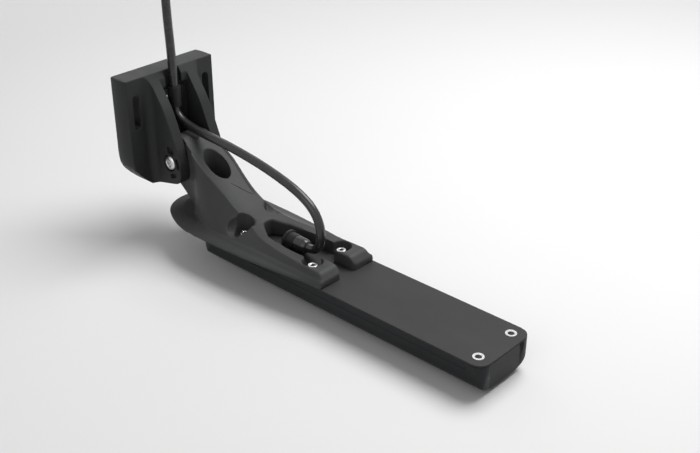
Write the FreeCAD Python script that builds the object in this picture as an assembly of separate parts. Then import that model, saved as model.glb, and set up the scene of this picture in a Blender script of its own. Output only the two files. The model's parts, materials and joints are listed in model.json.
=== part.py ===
import FreeCAD, Part

import math
import os

from FreeCAD import Vector

# Sonar transducer on a transom bracket, in millimetres.
# X points aft, Y across, Z up. The origin is the middle of the bracket's back face,
# at half the height of its two mounting slots.

# Transom bracket
BRACKET_WIDTH = 82.2
BRACKET_DEPTH = 18.0
BRACKET_TOP = 26.0
BRACKET_SHOULDER = -45.3
BRACKET_BOTTOM = -64.4
BRACKET_FACE = 4.0
BRACKET_WALL = 3.2
BRACKET_EDGE_RADIUS = 4.5
BACK_RIB = 2.6
BACK_RIB_MIDDLE = -24.0
BACK_RIB_LOW = -46.0
SLOT_SPACING = 66.4
SLOT_WIDTH = 5.7
SLOT_HEIGHT = 27.2
SLOT_WALL = 3.2
EAR_GAP = 25.9
EAR_THICKNESS = 8.5
EAR_ROOT_RADIUS = 6.0
EAR_NOSE = 48.3
EAR_POCKET_DEPTH = 3.0
CHANNEL_WIDTH = 15.0
CHANNEL_DEPTH = 3.4
CHANNEL_LAND_BOTTOM = 14.0

# Pivot
PIVOT_X = 35.0
PIVOT_Z = -39.9
BOLT_DIAMETER = 8.0
BOLT_HEAD_DIAMETER = 12.0
BOLT_HEAD_HEIGHT = 3.3
BOLT_HEX = 5.0
BOLT_HEX_DEPTH = 3.0
HEAD_RECESS = 3.4
NUT_ACROSS_FLATS = 13.0
NUT_HEIGHT = 6.5
RUNNING_FIT = 0.05
BUSH_WALL = 1.5
BUSH_FLANGE_DIAMETER = 22.0
BUSH_GAP = 0.1

# Moulded arm
HUB_HALF_WIDTH = 11.9
HUB_REAR = 19.4
HUB_TOP = -20.2
NECK_RADIUS = 15.5
PRONG_TIP = 198.6
PRONG_HALF_GAP = 6.5
DECK_HEIGHT = 10.0
ARM_FLOOR = 2.0
HOLE_X = 65.5
HOLE_LENGTH = 23.0
HOLE_WIDTH = 17.0
SKIRT_NOSE = 23.0
SKIRT_WIDEST = 80.0
SKIRT_HALF_WIDTH = 37.9
SKIRT_TIP_HALF_WIDTH = 26.8
SKIRT_TIP_RADIUS = 30.0
SKIRT_UNDERCUT = 1.2
SKIRT_EDGE = 2.4
SKIRT_RISE = 2.2
PAD_MARGIN = 1.5
PAD_HEIGHT = 5.3
PANEL_DEPTH = 0.8
PANEL_RIM = 1.7
PANEL_FADE = 4.0
EAR_SWEEP = 21.2
CABLE_SLOT_START = 118.5
CABLE_SLOT_HALF_WIDTH = 14.4

# Transducer
BODY_TOP = -81.0
BODY_HALF_WIDTH = 27.0
BODY_DEPTH = 25.5
BODY_NOSE = 58.0
BOW_LENGTH = 34.0
BODY_TAIL = 333.9
TAIL_CORNER = 8.0
CHINE_DROP = 7.6
CHINE_HALF_WIDTH = 26.3
BILGE_HALF_WIDTH = 23.4
BILGE_RISE = 5.4
BILGE_RADIUS = 9.0
BOTTOM_RADIUS = 45.0
KEEL_DROP = 2.62
BAND_TOP = 1.7
BAND_BOTTOM = 7.3
BAND_DEPTH = 1.1
BAND_END = 12.0
BOW_TIP_RADIUS = 20.0
BODY_WALL = 2.5
COVER_EDGE = 1.2
COVER_PLUG = 2.4
COVER_FIT = 0.1
TAIL_PANEL_INSET = 1.4
TAIL_PANEL_BORDER = 1.5
TAIL_PANEL_HALF_WIDTH = 17.6
POTTING_TOP = BODY_TOP - 10.5

# Pieces in the potting and on it, with their runs as shares of the straight part of the body
ELEMENT_HEIGHT = 3.0
DOWN_ELEMENT_RUN = (0.467, 0.90)
DOWN_ELEMENT_WIDTH = 5.0
DOWN_ELEMENT_RISE = 6.0
SIDE_ELEMENT_RUN = (0.405, 0.90)
SIDE_ELEMENT_WIDTH = 8.0
SIDE_ELEMENT_RISE = 9.8
SIDE_ELEMENT_Y = 14.5
SIDE_ELEMENT_TILT = 30.0
CHIRP_ELEMENT_RUN = (0.108, 0.314)
CHIRP_ELEMENT_WIDTH = 26.0
CHIRP_ELEMENT_HEIGHT = 5.6
CHIRP_ELEMENT_RISE = 8.8
BOARD_RUN = (0.115, 0.86)
BOARD_HALF_WIDTH = 8.5
BOARD_THICKNESS = 1.6
# Start and stop as shares of the run, width as a share of the board's, height as one of its thickness
BOARD_PARTS = [(0.18, 0.23, 0.6, 1.0), (0.47, 0.53, 0.7, 0.9), (0.70, 0.735, 0.35, 1.5)]
PROBE_X = BODY_TAIL - 14.9
PROBE_RADIUS = 4.0

# Fasteners of the arm and the two inserts at the tail
SCREW_X_FRONT = 109.5
SCREW_X_REAR = 178.8
SCREW_Y = 14.6
SCREW_DIAMETER = 4.0
SCREW_HEAD_DIAMETER = 7.0
SCREW_HEAD_HEIGHT = 4.0
SCREW_HEX = 3.0
SCREW_LENGTH = 9.0
WASHER_DIAMETER = 9.6
WASHER_THICKNESS = 0.8
SCREW_POCKET_RADIUS = 7.4
SCOOP_RADIUS = 8.0
INSERT_DIAMETER = 6.4
TAIL_INSERT_X = BODY_TAIL - 9.8
TAIL_INSERT_Y = 17.4
TAIL_INSERT_DIAMETER = 7.8
TAIL_INSERT_BORE = 4.2
TAIL_INSERT_LENGTH = 12.0
TAIL_INSERT_WALL = 1.6

# Cable entry, clip and cable
CABLE_DIAMETER = 6.6
GLAND_X = 145.0
GLAND_Z = -73.8
GLAND_FLANGE_RADIUS = 7.0
GLAND_FLANGE = 2.2
GLAND_RADIUS = 5.7
GLAND_LENGTH = 4.5
BOOT_END = 160.0
BOOT_RADIUS = 5.6
BOOT_CORE = 4.0
BOSS_START = 127.0
BOSS_HALF_WIDTH = 5.8
CABLE_X = 21.3
CLIP_BOTTOM = -2.8
CLIP_TOP = 12.7
CLIP_WALL = 1.5
CLIP_FOOT = 2.0
CLIP_FOOT_REACH = 11.4
CLIP_SCREW_Y = -8.6
CLIP_SCREW_Z = 6.25
CLIP_SCREW_HEAD = 4.4
CONNECTOR_Z = 84.0
CONNECTOR_X = 20.6
CONNECTOR_Y = -0.6
CONNECTOR_BOOT = 20.0
CONNECTOR_RADIUS = 8.0
CONNECTOR_LENGTH = 32.0
COLLAR_WALL = 2.0
COLLAR_LENGTH = 18.0
PIN_CIRCLE = 3.6
PIN_DIAMETER = 1.0
PIN_COUNT = 8

LOOP_ROUTE = [
    (BOOT_END, 0.0, GLAND_Z),
    (165.4, 0.0, GLAND_Z),
    (169.8, 0.0, -70.8),
    (172.6, 0.0, -65.6),
    (173.2, 0.0, -58.6),
    (171.7, 0.0, -50.2),
    (167.2, 0.0, -42.6),
    (159.6, 0.0, -36.6),
    (148.4, 0.2, -31.8),
    (134.0, 0.4, -27.8),
    (114.0, 0.5, -23.7),
    (94.0, 0.4, -20.8),
    (75.0, 0.2, -18.7),
    (58.0, 0.0, -17.7),
    (43.0, 0.0, -16.6),
    (31.8, 0.0, -14.6),
    (25.0, 0.0, -11.4),
    (CABLE_X, 0.0, -6.8),
    (CABLE_X, 0.0, CLIP_BOTTOM),
]

LEAD_ROUTE = [
    (CABLE_X, 0.0, CLIP_BOTTOM),
    (CABLE_X, 0.0, 40.0),
    (CONNECTOR_X, CONNECTOR_Y, 66.0),
    (CONNECTOR_X, CONNECTOR_Y, CONNECTOR_Z),
]

EAR_OUTER = EAR_GAP / 2 + EAR_THICKNESS
SCREW_SEAT = BODY_TOP + ARM_FLOOR
OVERSHOOT = 1.0


def outline(points):
    """Closed wire in the UV plane from (u, v) corners, or (u, v, radius) rounded corners."""
    flat = [Vector(p[0], p[1], 0) for p in points]
    radii = [p[2] if len(p) > 2 else 0.0 for p in points]
    edges = []
    starts = []
    ends = []
    count = len(flat)
    for i in range(count):
        here = flat[i]
        back = (flat[i - 1] - here).normalize()
        ahead = (flat[(i + 1) % count] - here).normalize()
        if radii[i] == 0:
            starts.append(here)
            ends.append(here)
            continue
        half = back.getAngle(ahead) / 2
        reach = radii[i] / math.tan(half)
        first = here + back * reach
        last = here + ahead * reach
        middle = (back + ahead).normalize()
        deep = radii[i] / math.sin(half) - radii[i]
        starts.append(first)
        ends.append(last)
        edges.append(Part.Arc(first, here + middle * deep, last).toShape())
    for i in range(count):
        here = ends[i]
        there = starts[(i + 1) % count]
        if (there - here).Length > 1e-6:
            edges.append(Part.LineSegment(here, there).toShape())
    return Part.Wire(Part.__sortEdges__(edges))


def face(points):
    return Part.Face(outline(points))


def across(points, low, high):
    """Side outline in (x, z), extruded along Y from low to high."""
    shape = face(points)
    shape.rotate(Vector(0, 0, 0), Vector(1, 0, 0), 90)
    shape.translate(Vector(0, low, 0))
    return shape.extrude(Vector(0, high - low, 0))


def upright(points, low, high):
    """Plan outline in (x, y), extruded along Z from low to high."""
    shape = face(points)
    shape.translate(Vector(0, 0, low))
    return shape.extrude(Vector(0, 0, high - low))


def endwise(points, low, high):
    """End outline in (y, z), extruded along X from low to high."""
    shape = face(points)
    shape.rotate(Vector(0, 0, 0), Vector(1, 1, 1), 120)
    shape.translate(Vector(low, 0, 0))
    return shape.extrude(Vector(high - low, 0, 0))


def box(x_low, x_high, y_low, y_high, z_low, z_high):
    size = (x_high - x_low, y_high - y_low, z_high - z_low)
    return Part.makeBox(*size, Vector(x_low, y_low, z_low))


def post(radius, x, y, low, high):
    return Part.makeCylinder(radius, high - low, Vector(x, y, low))


def rod(radius, low, high):
    """Cylinder about the pivot axis, from low to high along Y."""
    return Part.makeCylinder(radius, high - low, Vector(PIVOT_X, low, PIVOT_Z), Vector(0, 1, 0))


def hexagon(flats, low, high, x, z):
    """Hexagonal bar along Y."""
    radius = flats / math.sqrt(3)
    corners = []
    for i in range(6):
        angle = math.radians(60 * i + 30)
        corners.append((x + radius * math.cos(angle), z + radius * math.sin(angle)))
    return across(corners, low, high)


def hex_socket(flats, x, y, low, high):
    """Upright hexagonal bar, used to cut a socket."""
    radius = flats / math.sqrt(3)
    corners = []
    for i in range(6):
        angle = math.radians(60 * i)
        corners.append((x + radius * math.cos(angle), y + radius * math.sin(angle)))
    return upright(corners, low, high)


def turned(profile, centre, direction):
    """Solid of revolution: profile of (radius, height) corners about an axis."""
    points = [Vector(r, 0, h) for r, h in profile]
    points.append(points[0])
    shape = Part.Face(Part.makePolygon(points)).revolve(Vector(0, 0, 0), Vector(0, 0, 1), 360)
    turn = FreeCAD.Rotation(Vector(0, 0, 1), direction)
    shape.Placement = FreeCAD.Placement(centre, turn)
    return shape


def both_sides(shape):
    """The shape and its mirror image across the middle plane."""
    return [shape, shape.mirror(Vector(0, 0, 0), Vector(0, 1, 0))]


def smooth(points):
    curve = Part.BSplineCurve()
    curve.interpolate([Vector(*p) for p in points])
    return curve.toShape()


def arc_between(centre, radius, start, stop):
    """Arc edge in a level plane, between two angles in radians."""
    marks = []
    for angle in (start, (start + stop) / 2, stop):
        marks.append(centre + Vector(radius * math.cos(angle), radius * math.sin(angle), 0))
    return Part.Arc(*marks).toShape()


def bow(nose, full, half, tip_radius, z):
    """Half of a bow's plan, from the nose to the full width: a tip arc and a long side arc."""
    length = full - nose
    run = length - tip_radius
    side_radius = (run ** 2 + half ** 2 - tip_radius ** 2) / (2 * (half - tip_radius))
    tip_centre = Vector(nose + tip_radius, 0, z)
    side_centre = Vector(full, half - side_radius, z)
    meet = math.atan2(side_radius - half, -run)
    tip = arc_between(tip_centre, tip_radius, math.pi, meet)
    side = arc_between(side_centre, side_radius, meet, math.pi / 2)
    return [tip, side]


def mirrored(edges):
    return [edge.mirror(Vector(0, 0, 0), Vector(0, 1, 0)) for edge in edges]


def bracket_section():
    """Plate and ears seen from above, with round roots and round front edges."""
    half = BRACKET_WIDTH / 2
    inner = EAR_GAP / 2
    depth = BRACKET_DEPTH
    root = EAR_ROOT_RADIUS
    return [
        (0, -half), (depth, -half, BRACKET_EDGE_RADIUS), (depth, -EAR_OUTER, root),
        (EAR_NOSE + OVERSHOOT, -EAR_OUTER), (EAR_NOSE + OVERSHOOT, -inner), (depth, -inner, 1.5),
        (depth, inner, 1.5), (EAR_NOSE + OVERSHOOT, inner), (EAR_NOSE + OVERSHOOT, EAR_OUTER),
        (depth, EAR_OUTER, root), (depth, half, BRACKET_EDGE_RADIUS), (0, half),
    ]


def bracket_side():
    """Plate and ear seen from the side; the ear swells to a round nose at the pivot."""
    return [
        (-OVERSHOOT, BRACKET_BOTTOM), (-OVERSHOOT, BRACKET_TOP), (BRACKET_DEPTH, BRACKET_TOP),
        (34.2, 2.2, 60.0), (46.2, -27.0, 22.0), (EAR_NOSE, -36.5, 10.0), (EAR_NOSE - 0.4, -53.6, 8.0),
        (9.0, BRACKET_BOTTOM + 0.9, 30.0), (5.0, BRACKET_BOTTOM),
    ]


def bracket_front():
    """Plate seen from aft, with its two cut lower corners."""
    half = BRACKET_WIDTH / 2
    foot = half + BRACKET_BOTTOM - BRACKET_SHOULDER
    return [
        (-half, BRACKET_TOP, 1.5), (-half, BRACKET_SHOULDER, 6.0), (-foot, BRACKET_BOTTOM, 4.0),
        (foot, BRACKET_BOTTOM, 4.0), (half, BRACKET_SHOULDER, 6.0), (half, BRACKET_TOP, 1.5),
    ]


def slot_outline(width, height, y):
    half = width / 2
    radius = half - 0.01
    return [
        (y - half, -height / 2, radius), (y + half, -height / 2, radius),
        (y + half, height / 2, radius), (y - half, height / 2, radius),
    ]


def back_hollow():
    """Moulding's open back: a shallow tray with slot bosses and ribs left standing."""
    half = BRACKET_WIDTH / 2 - BRACKET_WALL
    foot = half + BRACKET_BOTTOM - BRACKET_SHOULDER + 0.6 * BRACKET_WALL
    low = BRACKET_BOTTOM + BRACKET_WALL
    floor = BRACKET_DEPTH - BRACKET_FACE
    tray = endwise([
        (-half, BRACKET_TOP - BRACKET_WALL, 2.0), (-half, BRACKET_SHOULDER, 4.0), (-foot, low, 3.0),
        (foot, low, 3.0), (half, BRACKET_SHOULDER, 4.0), (half, BRACKET_TOP - BRACKET_WALL, 2.0),
    ], -OVERSHOOT, floor)
    kept = []
    boss_width = SLOT_WIDTH + 2 * SLOT_WALL
    boss_height = SLOT_HEIGHT + 2 * SLOT_WALL
    for side in (-1, 1):
        y = side * SLOT_SPACING / 2
        kept.append(endwise(slot_outline(boss_width, boss_height, y), 0, floor))
        ear = side * (EAR_GAP + EAR_THICKNESS) / 2
        kept.append(box(0, floor, ear - BACK_RIB / 2, ear + BACK_RIB / 2, BRACKET_BOTTOM, BRACKET_TOP))
    for z in (0.0, BACK_RIB_MIDDLE, BACK_RIB_LOW):
        kept.append(box(0, floor, -half, half, z - BACK_RIB / 2, z + BACK_RIB / 2))
    return tray.cut(kept)


def ring_pocket(start, stop, inner, outer, low, high):
    """Pocket shaped as part of a ring about the pivot, between two angles in degrees."""
    edges = []
    corners = {}
    for name, radius in (("in", inner), ("out", outer)):
        for angle in (start, (start + stop) / 2, stop):
            turn = math.radians(angle)
            place = Vector(PIVOT_X + radius * math.cos(turn), low, PIVOT_Z + radius * math.sin(turn))
            corners[(name, angle)] = place
    middle = (start + stop) / 2
    for name in ("in", "out"):
        first, halfway, last = corners[(name, start)], corners[(name, middle)], corners[(name, stop)]
        edges.append(Part.Arc(first, halfway, last).toShape())
    for angle in (start, stop):
        edges.append(Part.LineSegment(corners[("in", angle)], corners[("out", angle)]).toShape())
    wire = Part.Wire(Part.__sortEdges__(edges))
    return Part.Face(wire).extrude(Vector(0, high - low, 0))


def ear_cuts():
    """Bolt hole, head recess, nut pocket and the cored pockets round the bolt boss."""
    cuts = [rod(BOLT_DIAMETER / 2 + RUNNING_FIT, -EAR_OUTER - OVERSHOOT, EAR_OUTER + OVERSHOOT)]
    recess = BOLT_HEAD_DIAMETER / 2 + 0.6
    cuts.append(rod(recess, -EAR_OUTER - OVERSHOOT, -EAR_OUTER + HEAD_RECESS))
    flats = NUT_ACROSS_FLATS + 0.3
    cuts.append(hexagon(flats, EAR_OUTER - HEAD_RECESS, EAR_OUTER + OVERSHOOT, PIVOT_X, PIVOT_Z))
    for start, stop in ((58, 96), (-12, 34), (-84, -46)):
        outer = 11.8 if start < 50 else 13.6
        shape = ring_pocket(start, stop, 8.6, outer, -EAR_OUTER - OVERSHOOT, -EAR_OUTER + EAR_POCKET_DEPTH)
        cuts.extend(both_sides(shape))
    return cuts


def channel_lands():
    """Raised lands between the ears that leave the cable's channel between them."""
    shape = box(BRACKET_DEPTH - OVERSHOOT, BRACKET_DEPTH + CHANNEL_DEPTH, CHANNEL_WIDTH / 2,
                EAR_GAP / 2 + OVERSHOOT, CHANNEL_LAND_BOTTOM, BRACKET_TOP)
    trim = across(bracket_side(), -EAR_OUTER, EAR_OUTER)
    return [land.common(trim) for land in both_sides(shape)]


def transom_bracket():
    shape = upright(bracket_section(), BRACKET_BOTTOM, BRACKET_TOP)
    shape = shape.common(across(bracket_side(), -BRACKET_WIDTH, BRACKET_WIDTH))
    shape = shape.common(endwise(bracket_front(), -OVERSHOOT, EAR_NOSE + OVERSHOOT))
    shape = shape.fuse(channel_lands())
    cuts = ear_cuts()
    for side in (-1, 1):
        slot = slot_outline(SLOT_WIDTH, SLOT_HEIGHT, side * SLOT_SPACING / 2)
        cuts.append(endwise(slot, -OVERSHOOT, BRACKET_DEPTH + OVERSHOOT))
    cuts.append(back_hollow())
    hole = Part.makeCylinder(CLIP_SCREW_HEAD / 4, 3.2, Vector(BRACKET_DEPTH - 3.0, CLIP_SCREW_Y, CLIP_SCREW_Z),
                             Vector(1, 0, 0))
    cuts.append(hole)
    return shape.cut(cuts).removeSplitter()


def pivot_bolt():
    start = -EAR_OUTER + HEAD_RECESS
    head = rod(BOLT_HEAD_DIAMETER / 2, start - BOLT_HEAD_HEIGHT, start)
    socket = hexagon(BOLT_HEX, start - BOLT_HEAD_HEIGHT - OVERSHOOT,
                     start - BOLT_HEAD_HEIGHT + BOLT_HEX_DEPTH, PIVOT_X, PIVOT_Z)
    end = EAR_OUTER - HEAD_RECESS + NUT_HEIGHT + 1.0
    shank = rod(BOLT_DIAMETER / 2, start - OVERSHOOT, end)
    return head.cut(socket).fuse(shank.cut(rod(BOLT_HEAD_DIAMETER, start - 9.0, start))).removeSplitter()


def pivot_nut():
    start = EAR_OUTER - HEAD_RECESS
    nut = hexagon(NUT_ACROSS_FLATS, start, start + NUT_HEIGHT, PIVOT_X, PIVOT_Z)
    round_end = turned([(0, 0), (7.5, 0), (7.5, NUT_HEIGHT - 1.2), (6.2, NUT_HEIGHT), (0, NUT_HEIGHT)],
                       Vector(PIVOT_X, start, PIVOT_Z), Vector(0, 1, 0))
    return nut.common(round_end).cut(rod(BOLT_DIAMETER / 2, start - OVERSHOOT, start + 20))


def pivot_bush(side):
    """Flanged bush: its sleeve lines the hub's bore, its flange fills the gap to the ear."""
    gap = EAR_GAP / 2 - BUSH_GAP
    bore = BOLT_DIAMETER / 2 + RUNNING_FIT
    sleeve = bore + BUSH_WALL
    flange = BUSH_FLANGE_DIAMETER / 2
    profile = [(bore, 1.0), (sleeve, 1.0), (sleeve, HUB_HALF_WIDTH), (flange, HUB_HALF_WIDTH),
               (flange, gap), (bore, gap)]
    return turned(profile, Vector(PIVOT_X, 0, PIVOT_Z), Vector(0, side, 0))


# Arm's top line: x, height as a share of the rise from the body's top to the hub's, and radius
ARM_SLOPE = [(52.0, 0.878, 0.0), (65.0, 0.737, 40.0), (98.4, 0.340, 60.0), (128.0, 0.178, 60.0)]

# Half widths of the arm: x, at the foot, at the top line, and that line's height as a share
ARM_STATIONS = [
    (12.0, 11.9, 11.9, 1.000),
    (30.0, 11.9, 11.9, 1.000),
    (43.0, 11.9, 11.9, 0.930),
    (51.0, 12.2, 13.6, 0.870),
    (58.0, 16.6, 15.1, 0.798),
    (66.0, 21.2, 15.5, 0.724),
    (75.0, 25.0, 14.7, 0.609),
    (84.0, 27.0, 13.9, 0.493),
    (98.4, 27.2, 13.6, 0.340),
    (118.0, 27.4, 15.6, 0.222),
    (143.0, 27.0, 20.4, 0.168),
    (176.0, 26.0, 23.2, 0.164),
    (201.0, 25.2, 24.2, 0.156),
]


def risen(share):
    """Height at a share of the rise from the body's top to the hub's top."""
    return BODY_TOP + share * (HUB_TOP - BODY_TOP)


def arm_side():
    """Arm seen from the side: hub, neck, sloping back and prongs."""
    deck = BODY_TOP + DECK_HEIGHT
    foot = BODY_TOP + PAD_HEIGHT - 0.8
    neck = Vector(44.8, 0, risen(0.207))
    to_pivot = Vector(PIVOT_X, 0, PIVOT_Z) - neck
    lean = math.atan2(to_pivot.z, to_pivot.x) + math.asin(NECK_RADIUS / to_pivot.Length)
    hub_back_z = neck.z + (HUB_REAR - neck.x) * math.tan(lean)
    slope = [(x, risen(share), radius) for x, share, radius in ARM_SLOPE]
    return [
        (HUB_REAR, hub_back_z, 11.0), (HUB_REAR, HUB_TOP, 18.0), (43.0, HUB_TOP, 5.0),
    ] + slope + [
        (150.0, deck), (PRONG_TIP - 4.6, deck, 5.0), (PRONG_TIP - 0.8, BODY_TOP + 5.4, 1.5),
        (PRONG_TIP, BODY_TOP),
        (51.5, BODY_TOP), (51.0, foot, 3.0), (neck.x, neck.z, 6.0),
    ]


def arm_envelope(inset):
    """Solid between four smooth rails that gives the arm's sides their plan width and draft."""
    base = BODY_TOP + PAD_HEIGHT - 0.8
    floor = BODY_TOP - OVERSHOOT
    feet = []
    peaks = []
    for x, foot, top, share in ARM_STATIONS:
        height = risen(share)
        lean = (top - foot) / (height - base)
        peak = height + 3.5
        feet.append((x, foot + lean * (floor - base) - inset, floor))
        peaks.append((x, foot + lean * (peak - base) - inset, peak))
    rails = {}
    for side in (-1, 1):
        rails["foot", side] = smooth([(x, side * y, z) for x, y, z in feet])
        rails["peak", side] = smooth([(x, side * y, z) for x, y, z in peaks])
    pairs = [(("foot", -1), ("peak", -1)), (("foot", 1), ("peak", 1)),
             (("foot", -1), ("foot", 1)), (("peak", -1), ("peak", 1))]
    faces = [Part.makeRuledSurface(rails[first], rails[second]) for first, second in pairs]
    for end in (0, -1):
        x, low, floor = feet[end]
        x, high, peak = peaks[end]
        corners = [Vector(x, -low, floor), Vector(x, low, floor), Vector(x, high, peak), Vector(x, -high, peak)]
        faces.append(Part.Face(Part.makePolygon(corners + [corners[0]])))
    shell = Part.makeShell(faces)
    shell.sewShape()
    solid = Part.makeSolid(shell)
    if solid.Volume < 0:
        solid.reverse()
    return solid


def back_panel():
    """Shallow recess in the arm's sloping back that leaves a rim along each edge and fades out at its ends."""
    ends = (ARM_SLOPE[0], PANEL_FADE), (ARM_SLOPE[2], -PANEL_FADE)
    zone = box(ends[0][0][0], ends[1][0][0], -30, 30, BODY_TOP + DECK_HEIGHT, HUB_TOP + 5)
    profile = across(arm_side(), -40, 40)
    left = [profile.translated(Vector(0, 0, -PANEL_DEPTH))]
    for (x, share, radius), turn in ends:
        left.append(profile.rotated(Vector(x, 0, risen(share)), Vector(0, 1, 0), turn))
    return arm_envelope(PANEL_RIM).common(zone).cut(left)


def skirt_wire(inset, z):
    """Skirt's plan: a round bow, then a long taper to the prong tips."""
    half = SKIRT_HALF_WIDTH - inset
    tip = SKIRT_TIP_HALF_WIDTH - min(inset, 2.0)
    drop = half - tip
    length = PRONG_TIP - SKIRT_WIDEST
    radius = (length ** 2 + drop ** 2) / (2 * drop)
    centre = Vector(SKIRT_WIDEST, half - radius, z)
    edges = bow(SKIRT_NOSE + inset, SKIRT_WIDEST, half, SKIRT_TIP_RADIUS - inset, z)
    edges.append(arc_between(centre, radius, math.pi / 2, math.pi / 2 - math.asin(length / radius)))
    edges += mirrored(edges)
    edges.append(Part.LineSegment(Vector(PRONG_TIP, -tip, z), Vector(PRONG_TIP, tip, z)).toShape())
    return Part.Wire(Part.__sortEdges__(edges))


def skirt():
    """Thin-edged spray skirt with an undercut rim, and the low pad that the arm stands on."""
    rim = BODY_TOP + SKIRT_EDGE
    low = BODY_TOP + SKIRT_UNDERCUT
    under = Part.makeLoft([skirt_wire(6.0, BODY_TOP), skirt_wire(0.0, low)], True, True)
    plate = Part.Face(skirt_wire(0.0, low)).extrude(Vector(0, 0, rim - low))
    crown = Part.makeLoft([skirt_wire(0.0, rim), skirt_wire(11.0, rim + SKIRT_RISE)], True, True)
    pad = arm_envelope(-PAD_MARGIN).common(box(49.0, PRONG_TIP, -50, 50, BODY_TOP, BODY_TOP + PAD_HEIGHT))
    return [under, plate, crown, pad]


def oval(x, y, length, width, low, high):
    """Upright oval: an elliptic cylinder."""
    shape = Part.Face(Part.Wire(Part.Ellipse(Vector(0, 0, 0), length / 2, width / 2).toShape()))
    shape.translate(Vector(x, y, low))
    return shape.extrude(Vector(0, 0, high - low))


def cable_slot():
    """Opening for the cable, which narrows between the prong tips."""
    half = CABLE_SLOT_HALF_WIDTH
    start = CABLE_SLOT_START
    plan = [
        (start, -4.0, 3.4), (start, 4.0, 3.4), (start + 13.0, 11.6, 12.0), (start + 36.0, half, 60.0),
        (SCREW_X_REAR, half), (SCREW_X_REAR, PRONG_HALF_GAP),
        (PRONG_TIP, PRONG_HALF_GAP, 3.0), (PRONG_TIP, half), (PRONG_TIP + 5.0, half),
        (PRONG_TIP + 5.0, -half), (PRONG_TIP, -half), (PRONG_TIP, -PRONG_HALF_GAP, 3.0),
        (SCREW_X_REAR, -PRONG_HALF_GAP), (SCREW_X_REAR, -half),
        (start + 36.0, -half, 60.0), (start + 13.0, -11.6, 12.0),
    ]
    return upright(plan, BODY_TOP - OVERSHOOT, BODY_TOP + 30)


def screw_pockets():
    """Round wells down to the screw seats; the front pair opens out through the arm's sides."""
    cuts = []
    hole = SCREW_DIAMETER / 2 + 0.2
    for x in (SCREW_X_FRONT, SCREW_X_REAR):
        for y in (-SCREW_Y, SCREW_Y):
            cuts.append(post(SCREW_POCKET_RADIUS, x, y, SCREW_SEAT, BODY_TOP + 45))
            cuts.append(post(hole, x, y, BODY_TOP - OVERSHOOT, SCREW_SEAT + OVERSHOOT))
    middle = Vector(SCREW_X_FRONT - 3.0, -SCREW_Y - 7.0, SCREW_SEAT + SCOOP_RADIUS + 3.0)
    scoop = Part.makeSphere(SCOOP_RADIUS, middle)
    return cuts + both_sides(scoop)


def hub_valley():
    """Groove over the hub that parts its two knuckles and gives the cable room."""
    return Part.makeCylinder(6.0, 50.0, Vector(12.0, 0, HUB_TOP + 3.6), Vector(1, 0, 0))


def ear_room():
    """Space that the bracket's ears and the bushes' flanges need beside the hub while the arm tilts."""
    flange = rod(BUSH_FLANGE_DIAMETER / 2 + 1.0, HUB_HALF_WIDTH, 40)
    return both_sides(rod(EAR_SWEEP, EAR_GAP / 2 - 0.2, 40).fuse(flange))


def prong_plan():
    """Plan limit that rounds the prongs' outer corners."""
    half = ARM_STATIONS[-1][2] + 0.6
    corners = [(0, -40), (PRONG_TIP - 20, -40), (PRONG_TIP, -half, 4.5)]
    return upright(corners + [(x, -y, *radius) for x, y, *radius in reversed(corners)], BODY_TOP, HUB_TOP + 5)


def mounting_arm():
    shape = across(arm_side(), -40, 40).common(arm_envelope(0)).common(prong_plan())
    shape = shape.cut(ear_room()).fuse(skirt())
    cuts = [cable_slot(), hub_valley(), back_panel()]
    cuts.append(oval(HOLE_X, 0, HOLE_LENGTH, HOLE_WIDTH, BODY_TOP - OVERSHOOT, HUB_TOP + 10))
    cuts.extend(screw_pockets())
    cuts.append(rod(BOLT_DIAMETER / 2 + RUNNING_FIT + BUSH_WALL, -40, 40))
    return shape.cut(cuts).removeSplitter()


def body_plan(inset):
    """Transducer's plan: long round bow and a square tail with round corners."""
    half = BODY_HALF_WIDTH - inset
    tail = BODY_TAIL - inset
    corner = TAIL_CORNER - min(inset, 3.0)
    full = BODY_NOSE + BOW_LENGTH
    edges = bow(BODY_NOSE + inset, full, half, BOW_TIP_RADIUS - inset, 0)
    edges.append(Part.LineSegment(Vector(full, half, 0), Vector(tail - corner, half, 0)).toShape())
    edges.append(arc_between(Vector(tail - corner, half - corner, 0), corner, math.pi / 2, 0))
    edges += mirrored(edges)
    edges.append(Part.LineSegment(Vector(tail, corner - half, 0), Vector(tail, half - corner, 0)).toShape())
    return Part.Wire(Part.__sortEdges__(edges))


def body_section(inset, top):
    """Transducer's end view: steep upper side, chine, round bilge and a shallow bottom."""
    half = BODY_HALF_WIDTH - inset
    chine = CHINE_HALF_WIDTH - inset
    chine_z = BODY_TOP - CHINE_DROP
    bottom = BODY_TOP - BODY_DEPTH + inset
    bilge = BILGE_HALF_WIDTH - inset
    bilge_z = bottom + BILGE_RISE
    radius = BILGE_RADIUS - inset
    keel = bottom - KEEL_DROP
    return [
        (-half, top), (-chine, chine_z), (-bilge, bilge_z, radius), (0, keel, BOTTOM_RADIUS),
        (bilge, bilge_z, radius), (chine, chine_z), (half, top),
    ]


def body_side(inset):
    """Transducer seen from the side: the keel sweeps up to the bow."""
    nose = BODY_NOSE + inset
    bottom = BODY_TOP - BODY_DEPTH + inset
    top = BODY_TOP + OVERSHOOT
    tail = BODY_TAIL - inset
    return [
        (nose, top), (nose, BODY_TOP - 2.5), (nose + 10.0, bottom + 8.5, 24.0), (nose + 52.0, bottom, 110.0),
        (tail - 1.6, bottom, 3.0), (tail, BODY_TOP - 6.0), (tail, top),
    ]


def body_solid(inset, top):
    """Transducer's outer form, or its inside when it is set in by a wall."""
    plan = Part.Face(body_plan(inset))
    plan.translate(Vector(0, 0, BODY_TOP - 40))
    shape = plan.extrude(Vector(0, 0, 40 + top - BODY_TOP))
    section = endwise(body_section(inset, top), 0, BODY_TAIL + 10)
    side = across(body_side(inset), -40, 40)
    return shape.common(section).common(side)


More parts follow.
